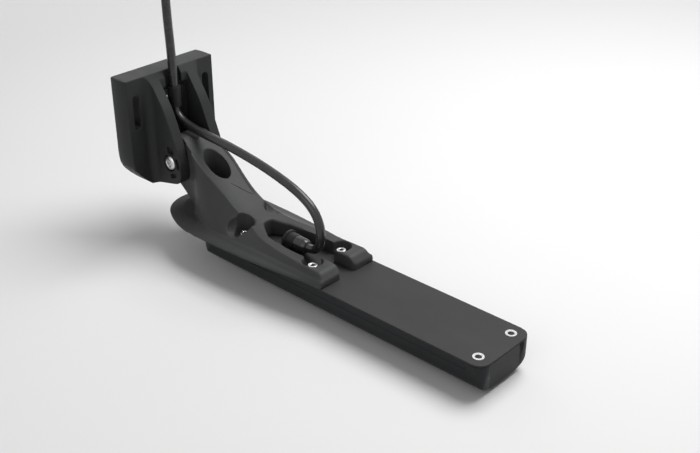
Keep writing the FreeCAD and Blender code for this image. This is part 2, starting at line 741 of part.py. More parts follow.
def tail_panel():
    """Shallow recess in the tail face that follows the section."""
    section = body_section(TAIL_PANEL_BORDER, BODY_TOP - COVER_EDGE - 0.9)
    shape = endwise(section, BODY_TAIL - TAIL_PANEL_INSET, BODY_TAIL + 5)
    half = TAIL_PANEL_HALF_WIDTH
    return shape.common(box(BODY_TAIL - 10, BODY_TAIL + 10, -half, half, BODY_TOP - 50, BODY_TOP))


def side_bands():
    """Long shallow channels in the hull's sides, between the cover's seam and the chine."""
    high = BODY_TOP - BAND_TOP
    low = BODY_TOP - BAND_BOTTOM
    end = BODY_TAIL - BAND_END
    outside = BODY_HALF_WIDTH + 2
    lean = (BODY_HALF_WIDTH - CHINE_HALF_WIDTH) / CHINE_DROP
    floor = [-BODY_HALF_WIDTH + lean * drop + BAND_DEPTH for drop in (BAND_TOP, BAND_BOTTOM)]
    section = [(floor[0], high), (floor[1], low), (-outside, low), (-outside, high)]
    profile = [(BODY_NOSE, high), (end, high, 2.6), (end, low, 2.6), (BODY_NOSE, low)]
    return both_sides(endwise(section, BODY_NOSE, end).common(across(profile, -outside, 0)))


def hull_shell():
    seam = BODY_TOP - COVER_EDGE
    shape = body_solid(0, seam).cut(body_solid(BODY_WALL, seam + OVERSHOOT))
    return shape.cut([tail_panel(), probe_shape()] + side_bands()).removeSplitter()


def probe_shape():
    bottom = BODY_TOP - BODY_DEPTH
    return post(PROBE_RADIUS, PROBE_X, 0, bottom - OVERSHOOT, bottom + 6.0)


def temperature_probe():
    bottom = BODY_TOP - BODY_DEPTH
    return probe_shape().common(box(PROBE_X - 10, PROBE_X + 10, -10, 10, bottom, bottom + 6.0))


def insert_places():
    return [(x, y) for x in (SCREW_X_FRONT, SCREW_X_REAR) for y in (-SCREW_Y, SCREW_Y)]


def tail_insert_places():
    return [(TAIL_INSERT_X, -TAIL_INSERT_Y), (TAIL_INSERT_X, TAIL_INSERT_Y)]


def cable_boss():
    """Raised block on the cover that carries the cable gland."""
    block = box(BOSS_START, GLAND_X, -BOSS_HALF_WIDTH, BOSS_HALF_WIDTH, BODY_TOP - 1.0, GLAND_Z)
    barrel = Part.makeCylinder(BOSS_HALF_WIDTH, GLAND_X - BOSS_START, Vector(BOSS_START, 0, GLAND_Z),
                               Vector(1, 0, 0))
    nose = across([(BOSS_START, BODY_TOP - 1), (BOSS_START + 6, BODY_TOP + 16, 4.0), (GLAND_X, BODY_TOP + 16),
                   (GLAND_X, BODY_TOP - 1)], -20, 20)
    return block.fuse(barrel).common(nose)


def top_cover():
    """Flat lid with a plug that drops inside the hull, insert bosses and the cable boss."""
    lid = Part.Face(body_plan(0))
    lid.translate(Vector(0, 0, BODY_TOP - COVER_EDGE))
    lid = lid.extrude(Vector(0, 0, COVER_EDGE))
    plug = Part.Face(body_plan(BODY_WALL + COVER_FIT + 0.8))
    plug.translate(Vector(0, 0, BODY_TOP - COVER_EDGE - COVER_PLUG))
    plug = plug.extrude(Vector(0, 0, COVER_PLUG))
    shape = lid.fuse([plug, cable_boss()])
    cuts = []
    deep = BODY_TOP - SCREW_LENGTH
    for x, y in insert_places():
        shape = shape.fuse(post(INSERT_DIAMETER / 2 + 1.8, x, y, deep, BODY_TOP - COVER_EDGE))
        cuts.append(post(INSERT_DIAMETER / 2, x, y, deep - OVERSHOOT, BODY_TOP + OVERSHOOT))
    for x, y in tail_insert_places():
        low = BODY_TOP - TAIL_INSERT_LENGTH - 1.2
        shape = shape.fuse(post(TAIL_INSERT_DIAMETER / 2 + 1.6, x, y, low, BODY_TOP - COVER_EDGE))
        cuts.append(post(TAIL_INSERT_DIAMETER / 2, x, y, BODY_TOP - TAIL_INSERT_LENGTH, BODY_TOP + OVERSHOOT))
    return shape.cut(cuts).common(cover_bounds()).removeSplitter()


def cover_bounds():
    """Keeps the cover's bosses off the inside of the hull."""
    inner = body_solid(BODY_WALL + COVER_FIT + 0.3, BODY_TOP - COVER_EDGE)
    above = box(0, BODY_TAIL + 10, -60, 60, BODY_TOP - COVER_EDGE, BODY_TOP + 40)
    return inner.fuse(above)


def mount_inserts():
    solids = []
    for x, y in insert_places():
        body = post(INSERT_DIAMETER / 2, x, y, BODY_TOP - SCREW_LENGTH, BODY_TOP)
        solids.append(body.cut(post(SCREW_DIAMETER / 2, x, y, BODY_TOP - 20, BODY_TOP + OVERSHOOT)))
    return solids


def tail_inserts():
    solids = []
    low = BODY_TOP - TAIL_INSERT_LENGTH
    for x, y in tail_insert_places():
        body = post(TAIL_INSERT_DIAMETER / 2, x, y, low, BODY_TOP)
        solids.append(body.cut(post(TAIL_INSERT_BORE / 2, x, y, low + 1.5, BODY_TOP + OVERSHOOT)))
    return solids


def mount_washers():
    solids = []
    for x, y in insert_places():
        disc = post(WASHER_DIAMETER / 2, x, y, SCREW_SEAT, SCREW_SEAT + WASHER_THICKNESS)
        solids.append(disc.cut(post(SCREW_DIAMETER / 2 + 0.2, x, y, SCREW_SEAT - 5, SCREW_SEAT + 5)))
    return solids


def mount_screws():
    solids = []
    seat = SCREW_SEAT + WASHER_THICKNESS
    for x, y in insert_places():
        head = post(SCREW_HEAD_DIAMETER / 2, x, y, seat, seat + SCREW_HEAD_HEIGHT)
        top = seat + SCREW_HEAD_HEIGHT
        head = head.cut(hex_socket(SCREW_HEX, x, y, top - 2.0, top + OVERSHOOT))
        solids.append(head.fuse(post(SCREW_DIAMETER / 2, x, y, BODY_TOP - SCREW_LENGTH, seat)).removeSplitter())
    return solids


def cable_gland():
    flange = GLAND_FLANGE_RADIUS
    bore_end = GLAND_LENGTH - 1.5
    profile = [(0, 0), (flange, 0), (flange, GLAND_FLANGE), (GLAND_RADIUS, GLAND_FLANGE),
               (GLAND_RADIUS, GLAND_LENGTH), (BOOT_CORE, GLAND_LENGTH), (BOOT_CORE, bore_end), (0, bore_end)]
    return turned(profile, Vector(GLAND_X, 0, GLAND_Z), Vector(1, 0, 0))


def cable_boot():
    """Domed strain relief moulded on the cable."""
    start = GLAND_LENGTH
    end = BOOT_END - GLAND_X
    radius = BOOT_RADIUS
    cable = CABLE_DIAMETER / 2
    profile = [(0, start - 1.5), (BOOT_CORE, start - 1.5), (BOOT_CORE, start), (radius, start),
               (radius, end - 4.5),
               (radius - 0.6, end - 2.7), (cable + 0.9, end - 1.8), (cable + 0.6, end), (0, end)]
    return turned(profile, Vector(GLAND_X, 0, GLAND_Z), Vector(1, 0, 0))


def element_bar(x_low, x_high, y, z, width, height, tilt):
    """Long piezo bar, tilted about its own length."""
    bar = box(x_low, x_high, -width / 2, width / 2, -height / 2, height / 2)
    bar.rotate(Vector(0, 0, 0), Vector(1, 0, 0), tilt)
    bar.translate(Vector(0, y, z))
    return bar


def along(share):
    """Place along the body at a share of the run from the bow's end to the tail."""
    start = BODY_NOSE + BOW_LENGTH
    return start + share * (BODY_TAIL - start)


def down_element():
    start, stop = DOWN_ELEMENT_RUN
    level = BODY_TOP - BODY_DEPTH + DOWN_ELEMENT_RISE
    return element_bar(along(start), along(stop), 0, level, DOWN_ELEMENT_WIDTH, ELEMENT_HEIGHT, 0)


def side_element(side):
    start, stop = SIDE_ELEMENT_RUN
    level = BODY_TOP - BODY_DEPTH + SIDE_ELEMENT_RISE
    return element_bar(along(start), along(stop), side * SIDE_ELEMENT_Y, level, SIDE_ELEMENT_WIDTH,
                       ELEMENT_HEIGHT, side * SIDE_ELEMENT_TILT)


def chirp_element():
    start, stop = CHIRP_ELEMENT_RUN
    level = BODY_TOP - BODY_DEPTH + CHIRP_ELEMENT_RISE
    return element_bar(along(start), along(stop), 0, level, CHIRP_ELEMENT_WIDTH, CHIRP_ELEMENT_HEIGHT, 0)


def element_potting():
    """Cast block that fills the hull up to the circuit board, with the elements in it."""
    block = body_solid(BODY_WALL, BODY_TOP - COVER_EDGE)
    wide = 2 * BODY_HALF_WIDTH
    block = block.common(box(0, 2 * BODY_TAIL, -wide, wide, BODY_TOP - 2 * BODY_DEPTH, POTTING_TOP))
    cuts = [down_element(), side_element(-1), side_element(1), chirp_element(), probe_shape()]
    low = BODY_TOP - TAIL_INSERT_LENGTH - COVER_EDGE
    for x, y in tail_insert_places():
        cuts.append(post(TAIL_INSERT_DIAMETER / 2 + TAIL_INSERT_WALL, x, y, low, BODY_TOP))
    return block.cut(cuts)


def circuit_board():
    """Board laid on the potting, with tall parts on it."""
    top = POTTING_TOP + BOARD_THICKNESS
    start, stop = BOARD_RUN
    board = box(along(start), along(stop), -BOARD_HALF_WIDTH, BOARD_HALF_WIDTH, POTTING_TOP, top)
    parts = []
    for start, stop, width_share, height_share in BOARD_PARTS:
        half = width_share * BOARD_HALF_WIDTH
        parts.append(box(along(start), along(stop), -half, half, top, top + height_share * BOARD_THICKNESS))
    return board.fuse(parts).removeSplitter()


def cable_clip():
    """Saddle clip: a half tube over the cable between two feet on the channel floor."""
    hold = CABLE_DIAMETER / 2
    outer = hold + CLIP_WALL
    height = CLIP_TOP - CLIP_BOTTOM
    base = Vector(CABLE_X, 0, CLIP_BOTTOM)
    hump = Part.makeCylinder(outer, height, base)
    hump = hump.fuse(box(BRACKET_DEPTH, CABLE_X, -outer, outer, CLIP_BOTTOM, CLIP_TOP))
    feet = upright([(BRACKET_DEPTH, -CLIP_FOOT_REACH), (BRACKET_DEPTH + CLIP_FOOT, -CLIP_FOOT_REACH, 0.8),
                    (BRACKET_DEPTH + CLIP_FOOT, CLIP_FOOT_REACH, 0.8), (BRACKET_DEPTH, CLIP_FOOT_REACH)],
                   CLIP_BOTTOM + 1.5, CLIP_TOP - 1.5)
    hollow = Part.makeCylinder(hold, height, base).fuse(
        box(BRACKET_DEPTH - OVERSHOOT, CABLE_X, -hold, hold, CLIP_BOTTOM, CLIP_TOP))
    shape = hump.fuse(feet).cut(hollow)
    shape = shape.common(box(BRACKET_DEPTH, 60, -30, 30, CLIP_BOTTOM, CLIP_TOP))
    hole = Part.makeCylinder(CLIP_SCREW_HEAD / 4, 20, Vector(BRACKET_DEPTH - 5, CLIP_SCREW_Y, CLIP_SCREW_Z),
                             Vector(1, 0, 0))
    return shape.cut(hole).removeSplitter()


def clip_screw():
    head = CLIP_SCREW_HEAD / 2
    foot = CLIP_FOOT
    shape = turned([(0, -3.0), (head / 2, -3.0), (head / 2, foot), (head, foot), (head, foot + 1.0),
                    (head - 0.7, foot + 1.8), (0, foot + 1.8)],
                   Vector(BRACKET_DEPTH, CLIP_SCREW_Y, CLIP_SCREW_Z), Vector(1, 0, 0))
    top = BRACKET_DEPTH + CLIP_FOOT + 1.8
    for turn in (0, 90):
        slot = box(top - 0.9, top + 1, -head * 0.7, head * 0.7, -0.35, 0.35)
        slot.rotate(Vector(0, 0, 0), Vector(1, 0, 0), turn)
        slot.translate(Vector(0, CLIP_SCREW_Y, CLIP_SCREW_Z))
        shape = shape.cut(slot)
    return shape


def cable(route, name):
    """Tube of straight runs joined by tangent arcs, each as large as its runs allow."""
    points = [Vector(*p) for p in route]
    edges = []
    here = points[0]
    radii = []
    for i in range(1, len(points) - 1):
        back = points[i - 1] - points[i]
        ahead = points[i + 1] - points[i]
        reach = 0.45 * min(back.Length, ahead.Length)
        half = back.getAngle(ahead) / 2
        radius = reach * math.tan(half)
        radii.append(radius)
        first = points[i] + back.normalize() * reach
        last = points[i] + ahead.normalize() * reach
        centre_way = (back + ahead).normalize()
        deep = radius / math.sin(half) - radius
        edges.append(Part.LineSegment(here, first).toShape())
        edges.append(Part.Arc(first, points[i] + centre_way * deep, last).toShape())
        here = last
    edges.append(Part.LineSegment(here, points[-1]).toShape())
    path = Part.Wire(edges)
    ring = Part.makeCircle(CABLE_DIAMETER / 2, points[0], points[1] - points[0])
    tube = path.makePipeShell([Part.Wire(ring)], True, False)
    expected = math.pi * CABLE_DIAMETER ** 2 / 4 * path.Length
    print(name, "length", round(path.Length, 1), "radii", [round(r, 1) for r in radii])
    print(name, "volume over section times length", round(tube.Volume / expected, 4))
    return tube


def at_connector(profile, rise):
    return turned(profile, Vector(CONNECTOR_X, CONNECTOR_Y, CONNECTOR_Z + rise), Vector(0, 0, 1))


def connector_boot():
    cable_radius = CABLE_DIAMETER / 2
    wide = CONNECTOR_RADIUS - 1.6
    return at_connector([(0, 0), (cable_radius + 0.6, 0), (wide - 0.6, CONNECTOR_BOOT - 4.0),
                         (wide, CONNECTOR_BOOT), (0, CONNECTOR_BOOT)], 0)


def connector_body():
    """Turned shell with a grip shoulder, a spigot for the collar and an open socket end."""
    radius = CONNECTOR_RADIUS
    neck = radius - COLLAR_WALL
    shoulder = CONNECTOR_LENGTH - COLLAR_LENGTH
    length = CONNECTOR_LENGTH
    return at_connector([(0, 0), (radius - 1.0, 0), (radius, 1.0), (radius, shoulder - 2.2),
                         (neck, shoulder - 2.2),
                         (neck, length - 3.0), (neck - 0.4, length), (neck - 1.4, length), (neck - 1.4, length - 9.0),
                         (0, length - 9.0)], CONNECTOR_BOOT)


def connector_pins():
    solids = []
    base = CONNECTOR_Z + CONNECTOR_BOOT + CONNECTOR_LENGTH - 9.0
    for i in range(PIN_COUNT):
        angle = 2 * math.pi * i / PIN_COUNT
        x = CONNECTOR_X + PIN_CIRCLE * math.cos(angle) * 0.85
        y = CONNECTOR_Y + PIN_CIRCLE * math.sin(angle) * 0.85
        solids.append(post(PIN_DIAMETER / 2, x, y, base, base + 6.5))
    return solids


def connector_collar():
    """Locking collar that turns freely on the connector's neck."""
    bore = CONNECTOR_RADIUS - COLLAR_WALL + RUNNING_FIT
    outer = CONNECTOR_RADIUS + 1.0
    low = CONNECTOR_LENGTH - COLLAR_LENGTH - 2.0
    return at_connector([(bore, 0), (outer, 0), (outer, COLLAR_LENGTH - 0.6), (bore, COLLAR_LENGTH - 0.6)],
                        CONNECTOR_BOOT + low)


def export(name, shape):
    solids = shape if isinstance(shape, list) else shape.Solids
    compound = Part.makeCompound(solids) if len(solids) > 1 else solids[0]
    if not compound.isValid():
        print("not valid:", name)
    compound.exportStep("parts/" + name + ".step")
    print(name, len(solids), "solid(s)", round(compound.Volume), "mm3")


def main():
    os.makedirs("parts", exist_ok=True)
    export("transom_bracket", transom_bracket())
    export("pivot_bolt", pivot_bolt())
    export("pivot_nut", pivot_nut())
    export("pivot_bush_near", pivot_bush(-1))
    export("pivot_bush_far", pivot_bush(1))
    export("mounting_arm", mounting_arm())
    export("top_cover", top_cover())
    export("hull_shell", hull_shell())
    export("mount_screws", mount_screws())
    export("mount_washers", mount_washers())
    export("mount_inserts", mount_inserts())
    export("tail_inserts", tail_inserts())
    export("cable_gland", cable_gland())
    export("cable_boot", cable_boot())
    export("chirp_element", chirp_element())
    export("down_element", down_element())
    export("side_element_near", side_element(-1))
    export("side_element_far", side_element(1))
    export("element_potting", element_potting())
    export("circuit_board", circuit_board())
    export("temperature_probe", temperature_probe())
    export("cable_clip", cable_clip())
    export("clip_screw", clip_screw())
    export("cable_loop", cable(LOOP_ROUTE, "cable_loop"))
    export("cable_lead", cable(LEAD_ROUTE, "cable_lead"))
    export("connector_boot", connector_boot())
    export("connector_body", connector_body())
    export("connector_pins", connector_pins())
    export("connector_collar", connector_collar())


main()
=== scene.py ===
"""Sonar transducer with its moulded arm, transom bracket and cable: the looks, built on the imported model."""

import json
import math

import bmesh
import bpy
from bpy.props import FloatProperty, FloatVectorProperty, IntProperty, PointerProperty
from mathutils import Matrix, Vector


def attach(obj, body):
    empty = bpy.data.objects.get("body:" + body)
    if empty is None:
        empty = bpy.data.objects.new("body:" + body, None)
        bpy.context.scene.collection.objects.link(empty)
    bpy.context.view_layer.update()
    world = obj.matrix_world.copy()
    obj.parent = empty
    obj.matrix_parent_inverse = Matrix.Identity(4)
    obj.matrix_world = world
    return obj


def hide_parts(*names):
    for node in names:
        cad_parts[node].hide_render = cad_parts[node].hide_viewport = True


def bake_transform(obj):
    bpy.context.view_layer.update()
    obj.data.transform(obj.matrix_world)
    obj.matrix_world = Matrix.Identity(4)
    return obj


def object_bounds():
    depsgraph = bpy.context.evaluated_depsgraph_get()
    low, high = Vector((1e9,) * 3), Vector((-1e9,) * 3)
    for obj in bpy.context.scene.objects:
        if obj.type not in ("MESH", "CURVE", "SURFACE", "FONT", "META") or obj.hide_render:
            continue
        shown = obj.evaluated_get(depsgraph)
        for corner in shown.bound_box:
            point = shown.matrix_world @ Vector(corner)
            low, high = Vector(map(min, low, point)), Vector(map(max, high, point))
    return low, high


bl_info = {
    "name": "Sonar transducer",
    "version": (1, 0, 0),
    "blender": (4, 5, 0),
    "location": "View3D > Sidebar > Transducer",
    "description": "Builds the looks of a transom-mount sonar transducer on its packed model",
    "category": "Object",
}

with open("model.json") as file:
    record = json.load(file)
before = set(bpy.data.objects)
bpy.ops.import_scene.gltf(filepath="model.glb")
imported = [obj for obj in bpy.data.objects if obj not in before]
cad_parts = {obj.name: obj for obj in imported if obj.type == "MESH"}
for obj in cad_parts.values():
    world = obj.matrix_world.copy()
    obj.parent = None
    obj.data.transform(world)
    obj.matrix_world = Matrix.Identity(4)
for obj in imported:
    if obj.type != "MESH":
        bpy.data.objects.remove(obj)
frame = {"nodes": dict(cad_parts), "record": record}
CAD_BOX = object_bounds()

MM = 0.001
ROUND = 48

# Sizes and places in millimetres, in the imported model's frame
PIVOT = (35.0, 0.0, -39.9)
BOLT_SEAT = 18.05
CABLE_DIAMETER = 6.6
GLAND = (145.0, 0.0, -73.8)
WASHER_SEAT = -79.0
SCREW_SEAT = -78.2
SCREW_SPOTS = [(x, y) for x in (109.5, 178.8) for y in (-14.6, 14.6)]
COVER_TOP = -81.0
INSERT_SPOTS = [(324.1, y) for y in (-17.4, 17.4)]
CONNECTOR = (20.6, -0.6)
BOOT_BOTTOM = 84.0
SHELL_BOTTOM = 104.0
COLLAR_BOTTOM = 116.0
COLLAR_RADIUS = 8.5
COLLAR_HEIGHT = 17.4
PIN_BOTTOM = 127.0
PIN_CIRCLE = 3.06
PIN_COUNT = 8
RIB_COUNT = 30
SLIT_SIZE = (0.5, 18.9, 2.0)
SLIT_PLACE = (87.6, 4.4, -52.5)
SLIT_ALONG = (12.8, 10.2, -9.4)

# Bracket's plate: the middle of its thickness, its side's swell, and the round of its front edge
PLATE_MIDDLE = 9.0
SIDE_SWELL = 1.2
SWELL_START = 38.0
SWELL_RUN = 3.0
EDGE_CENTRE = (13.5, 36.6)
EDGE_ROOM = 6.0

# Its lower corners: side, height, lean of the way out in degrees, and how much the round takes off
LOWER_CORNERS = [(41.1, -45.3, 22.5, 1.7), (22.0, -64.4, 67.5, 1.0)]
CORNER_REACH = 13.0
CORNER_FADE = 8.0

# Where the arm is softer: behind the prongs' start, at the slot's front end, and on the skirt
ARM_FOOT = -79.6
PRONG_START = 170.0
SLOT_FRONT = (112.0, 142.0)
SLOT_HALF_WIDTH = 14.0
SKIRT_TOP = -75.2
SKIRT_SIDE = 19.0
SKIRT_START = 70.0

# Hull's tail, the floor of its recess that gets painted shade, and the seam under the cover
TAIL = 333.9
TAIL_SOFT_START = 314.0
TAIL_SOFT_TOP = -91.0
TAIL_PANEL_INSET = 1.4
TAIL_PANEL_ROOM = 0.4
TAIL_PANEL_HALF_WIDTH = 17.2
HULL_HALF_WIDTH = 27.0
SEAM = -82.2
SEAM_RUN = 0.6
SEAM_DEPTH = 0.3

# Cable boss on the cover: its start above the cover's top, and the share of its length that is kept
BOSS_START = 0.15
BOSS_SHARE = 0.42

# Fineness of the softened mouldings
SMOOTH_SHARE = 0.5
SOFT_PASSES = 60
BRACKET_PASSES = 1
HULL_PASSES = 3
COVER_PASSES = 2
ARM_TRIANGLES = 120000
BRACKET_TRIANGLES = 90000
SHELL_TRIANGLES = 60000

# Turns in degrees past which an edge stays sharp
GROOVE_ANGLE = 38.0
LATHE_ANGLE = 32.0
LOOSE_ANGLE = 50.0

# Camera: its place and lens in millimetres, and where it looks from in degrees
CAMERA_PLACE = (642.1, -483.0, 314.2)
CAMERA_AZIMUTH = 42.43
CAMERA_ELEVATION = 28.55
CAMERA_LENS = 56.49

# Studio in metres: half the floor's width, the distances between which it turns into the backdrop, and the
# lamps, each with its place, its target and its power in watts
FLOOR_HALF = 4.0
FLOOR_NEAR = 0.5
FLOOR_FAR = 1.6
LAMPS = [
    ("overhead", (0.30, 0.50, 0.85), (0.15, 0.0, -0.08), 11.0),
    ("behind", (-0.95, 0.45, 0.55), (0.1, 0.0, -0.06), 1.5),
    ("front", (0.35, -0.95, 0.55), (0.15, 0.0, -0.06), 1.6),
]
LAMP_SIZE = 0.8

# Routes of the cable's two stretches: from the boot over the arm to the clip, and on up to the connector
LOOP_ROUTE = [
    (160.0, 0.0, -73.8), (165.4, 0.0, -73.8), (169.8, 0.0, -70.8), (172.6, 0.0, -65.6),
    (173.2, 0.0, -58.6), (171.7, 0.0, -50.2), (167.2, 0.0, -42.6), (159.6, 0.0, -36.6),
    (148.4, 0.2, -31.8), (134.0, 0.4, -27.8), (114.0, 0.5, -23.7), (94.0, 0.4, -20.8),
    (75.0, 0.2, -18.7), (58.0, 0.0, -17.7), (43.0, 0.0, -16.6), (31.8, 0.0, -14.6),
    (25.0, 0.0, -11.4), (21.3, 0.0, -6.8), (21.3, 0.0, -2.8),
]
LEAD_ROUTE = [(21.3, 0.0, -2.8), (21.3, 0.0, 40.0), (20.6, -0.6, 66.0), (20.6, -0.6, 84.0)]


class Wire:
    """A shader socket that takes part in Python arithmetic by adding Math nodes."""

    def __init__(self, finish, socket):
        self.finish = finish
        self.socket = socket

    def math(self, operation, *values):
        return self.finish.node("ShaderNodeMath", {"operation": operation}, *values)

    def __add__(self, other):
        return self.math("ADD", self, other)

    def __mul__(self, other):
        return self.math("MULTIPLY", self, other)

    def __sub__(self, other):
        return self.math("SUBTRACT", self, other)

    def __rsub__(self, other):
        return self.math("SUBTRACT", other, self)

    __radd__ = __add__
    __rmul__ = __mul__


class Finish:
    """One material on the Principled shader, with its nodes made from values and links."""

    def __init__(self, name, colour, roughness, metallic=0.0, **constants):
        self.material = bpy.data.materials.new(name)
        self.material.use_nodes = True
        self.material.diffuse_color = (*colour, 1.0)
        self.tree = self.material.node_tree
        self.tree.nodes.clear()
        self.shader = self.tree.nodes.new("ShaderNodeBsdfPrincipled")
        self.output = self.tree.nodes.new("ShaderNodeOutputMaterial")
        self.tree.links.new(self.shader.outputs[0], self.output.inputs[0])
        self.set("Base Color", (*colour, 1.0))
        self.set("Roughness", roughness)
        self.set("Metallic", metallic)
        for socket, value in constants.items():
            self.set(socket.replace("_", " "), value)
        self.place = self.node("ShaderNodeTexCoord", {}, out="Object")

    def set(self, socket, value):
        self.plug(self.shader.inputs[socket], value)

    def plug(self, socket, value):
        if isinstance(value, Wire):
            self.tree.links.new(value.socket, socket)
        elif value is not None:
            socket.default_value = value

    def node(self, kind, settings, *values, out=0, **named):
        """A node of a kind with its settings, then its sockets' values or links, by order or by name."""
        made = self.tree.nodes.new(kind)
        for key, value in settings.items():
            setattr(made, key, value)
        for socket, value in zip(made.inputs, values):
            self.plug(socket, value)
        for key, value in named.items():
            self.plug(made.inputs[key.replace("_", " ")], value)
        return Wire(self, made.outputs[out])

    def noise(self, size, detail=2.0, rough=0.5, stretch=None):
        """Noise with features about size metres across; stretch squeezes it along an axis."""
        at = self.place
        if stretch:
            at = self.node("ShaderNodeMapping", {}, Vector=at, Scale=stretch)
        return self.node(
            "ShaderNodeTexNoise", {}, Vector=at, Scale=1.0 / size, Detail=detail, Roughness=rough)

    def ramp(self, value, low, high, dark=0.0, light=1.0):
        """A value's stretch from low to high turned into one from dark to light."""
        return self.node("ShaderNodeMapRange", {}, value, low, high, dark, light)

    def tint(self, factor, low, high):
        """Colour between two colours by a factor, onto Base Color."""
        made = self.tree.nodes.new("ShaderNodeMix")
        made.data_type = "RGBA"
        self.plug(made.inputs["Factor"], factor)
        self.plug(made.inputs["A"], (*low, 1.0))
        self.plug(made.inputs["B"], (*high, 1.0))
        self.set("Base Color", Wire(self, made.outputs["Result"]))

    def bump(self, height, distance, strength=1.0):
        made = self.node("ShaderNodeBump", {}, Strength=strength, Distance=distance, Height=height)
        self.set("Normal", made)


def pale_rays(tree):
    """Socket that is 1 for the rays that show the background: camera, glossy and transmission."""
    rays = tree.nodes.new("ShaderNodeLightPath")
    seen = rays.outputs["Is Camera Ray"]
    for kind in ("Is Glossy Ray", "Is Transmission Ray"):
        either = tree.nodes.new("ShaderNodeMath")
        either.operation = "MAXIMUM"
        tree.links.new(seen, either.inputs[0])
        tree.links.new(rays.outputs[kind], either.inputs[1])
        seen = either.outputs[0]
    return seen


def shade(colour, factor):
    return tuple(min(1.0, c * factor) for c in colour)


def moulded(name, colour, roughness):
    """Satin glass-filled plastic: spark-eroded grain, faint flow marks and slightly uneven sheen."""
    finish = Finish(name, colour, roughness, Specular_IOR_Level=0.14)
    flow = finish.noise(28 * MM, 3.0, 0.6, (0.5, 1.0, 1.0))
    cloud = finish.noise(6 * MM, 4.0, 0.55)
    fine = finish.noise(0.45 * MM, 2.0, 0.6)
    finish.tint(finish.ramp(flow * 0.6 + cloud * 0.4, 0.3, 0.7), shade(colour, 0.9), shade(colour, 1.12))
    finish.set("Roughness", finish.ramp(cloud + fine * 0.4, 0.4, 1.0, roughness - 0.05, roughness + 0.06))
    finish.bump(fine + cloud * 0.3, 0.035 * MM, 0.5)
    return finish.material


def rubber(name, colour, roughness):
    """Extruded jacket: glossy, with a fine grain and patches of duller rubber."""
    finish = Finish(name, colour, roughness, Specular_IOR_Level=0.5)
    cloud = finish.noise(9 * MM, 3.0, 0.6)
    fine = finish.noise(0.6 * MM, 3.0, 0.6)
    finish.tint(finish.ramp(cloud, 0.35, 0.7), shade(colour, 0.85), shade(colour, 1.2))
    dull = cloud * 0.5 + fine * 0.5
    finish.set("Roughness", finish.ramp(dull, 0.3, 0.7, roughness - 0.06, roughness + 0.08))
    finish.bump(fine, 0.03 * MM, 0.4)
    return finish.material


def steel(name, colour, roughness):
    """Bright turned stainless steel with fine tool lines and light handling marks."""
    finish = Finish(name, colour, roughness, 1.0)
    lines = finish.noise(0.12 * MM, 2.0, 0.6, (1.0, 1.0, 6.0))
    marks = finish.noise(1.4 * MM, 4.0, 0.65)
    finish.tint(finish.ramp(marks, 0.3, 0.7), shade(colour, 0.86), shade(colour, 1.08))
    dull = lines * 0.5 + marks * 0.5
    finish.set("Roughness", finish.ramp(dull, 0.3, 0.7, roughness - 0.05, roughness + 0.12))
    finish.bump(lines, 0.01 * MM, 0.3)
    return finish.material


def ceramic(name, colour, roughness):
    """Fired ceramic with a fine even grain."""
    finish = Finish(name, colour, roughness)
    grain = finish.noise(0.8 * MM, 4.0, 0.6)
    finish.tint(finish.ramp(grain, 0.3, 0.7), shade(colour, 0.9), shade(colour, 1.08))
    finish.bump(grain, 0.03 * MM, 0.4)
    return finish.material


def cast_resin(name, colour, roughness):
    """Poured resin with slow swirls."""
    finish = Finish(name, colour, roughness)
    swirl = finish.noise(11 * MM, 5.0, 0.6)
    finish.tint(finish.ramp(swirl, 0.3, 0.7), shade(colour, 0.8), shade(colour, 1.25))
    finish.set("Roughness", finish.ramp(swirl, 0.3, 0.7, roughness, roughness + 0.15))
    return finish.material


MAKERS = {
    "bracket_moulding": (moulded, (0.029, 0.030, 0.031), 0.50),
    "arm_moulding": (moulded, (0.056, 0.057, 0.058), 0.48),
    "cover_moulding": (moulded, (0.040, 0.040, 0.040), 0.46),
    "hull_moulding": (moulded, (0.019, 0.021, 0.022), 0.42),
    "gland_plastic": (moulded, (0.022, 0.022, 0.023), 0.42),
    "bush_plastic": (moulded, (0.10, 0.10, 0.10), 0.5),
    "connector_plastic": (moulded, (0.025, 0.025, 0.026), 0.42),
    "cable_rubber": (rubber, (0.022, 0.022, 0.023), 0.24),
    "steel": (steel, (0.66, 0.66, 0.67), 0.24),
    # Dark steel painted inside the screws' hex sockets and the inserts' bores: painted shade.
    "socket_steel": (steel, (0.10, 0.10, 0.10), 0.35),
    # Near-black plastic painted on the tail's recess floor: painted shade.
    "panel_gloss": (moulded, (0.006, 0.007, 0.008), 0.22),
    "brass": (steel, (0.72, 0.56, 0.28), 0.28),
    "pin_gold": (steel, (0.80, 0.62, 0.30), 0.22),
    "element_ceramic": (ceramic, (0.62, 0.58, 0.50), 0.5),
    "potting_resin": (cast_resin, (0.05, 0.05, 0.06), 0.3),
    "board": (cast_resin, (0.05, 0.22, 0.10), 0.35),
}
made_finishes = {}


def finish_of(slot):
    if slot not in made_finishes:
        maker, colour, roughness = MAKERS[slot]
        made_finishes[slot] = maker(slot + "_finish", colour, roughness)
    return made_finishes[slot]


def link(name, mesh):
    thing = bpy.data.objects.new(name, mesh)
    bpy.context.scene.collection.objects.link(thing)
    return thing


def settle(thing, slot, body, *nodes):
    """Gives a finished piece its material, its body and the CAD nodes that it stands for."""
    thing.data.materials.clear()
    thing.data.materials.append(finish_of(slot))
    if nodes:
        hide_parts(*nodes)
    if body:
        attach(thing, body)
    return thing


def painted(thing, slot, where):
    """Second material on the faces whose centre, in millimetres, passes a test; used here for painted shade in
    hollows.
    """
    thing.data.materials.append(finish_of(slot))
    last = len(thing.data.materials) - 1
    for face in thing.data.polygons:
        if where(*(face.center / MM)):
            face.material_index = last


def in_holes(spots, reach, top):
    """Test for places inside upright round holes, where the painted shade goes."""
    return lambda x, y, z: z < top and any(math.hypot(x - a, y - b) < reach for a, b in spots)


def smoothing(thing, name, passes, group=""):
    """Smoothing over a whole thing, or over one of its vertex groups."""
    relax = thing.modifiers.new(name, "SMOOTH")
    relax.factor = SMOOTH_SHARE
    relax.iterations = passes
    relax.vertex_group = group


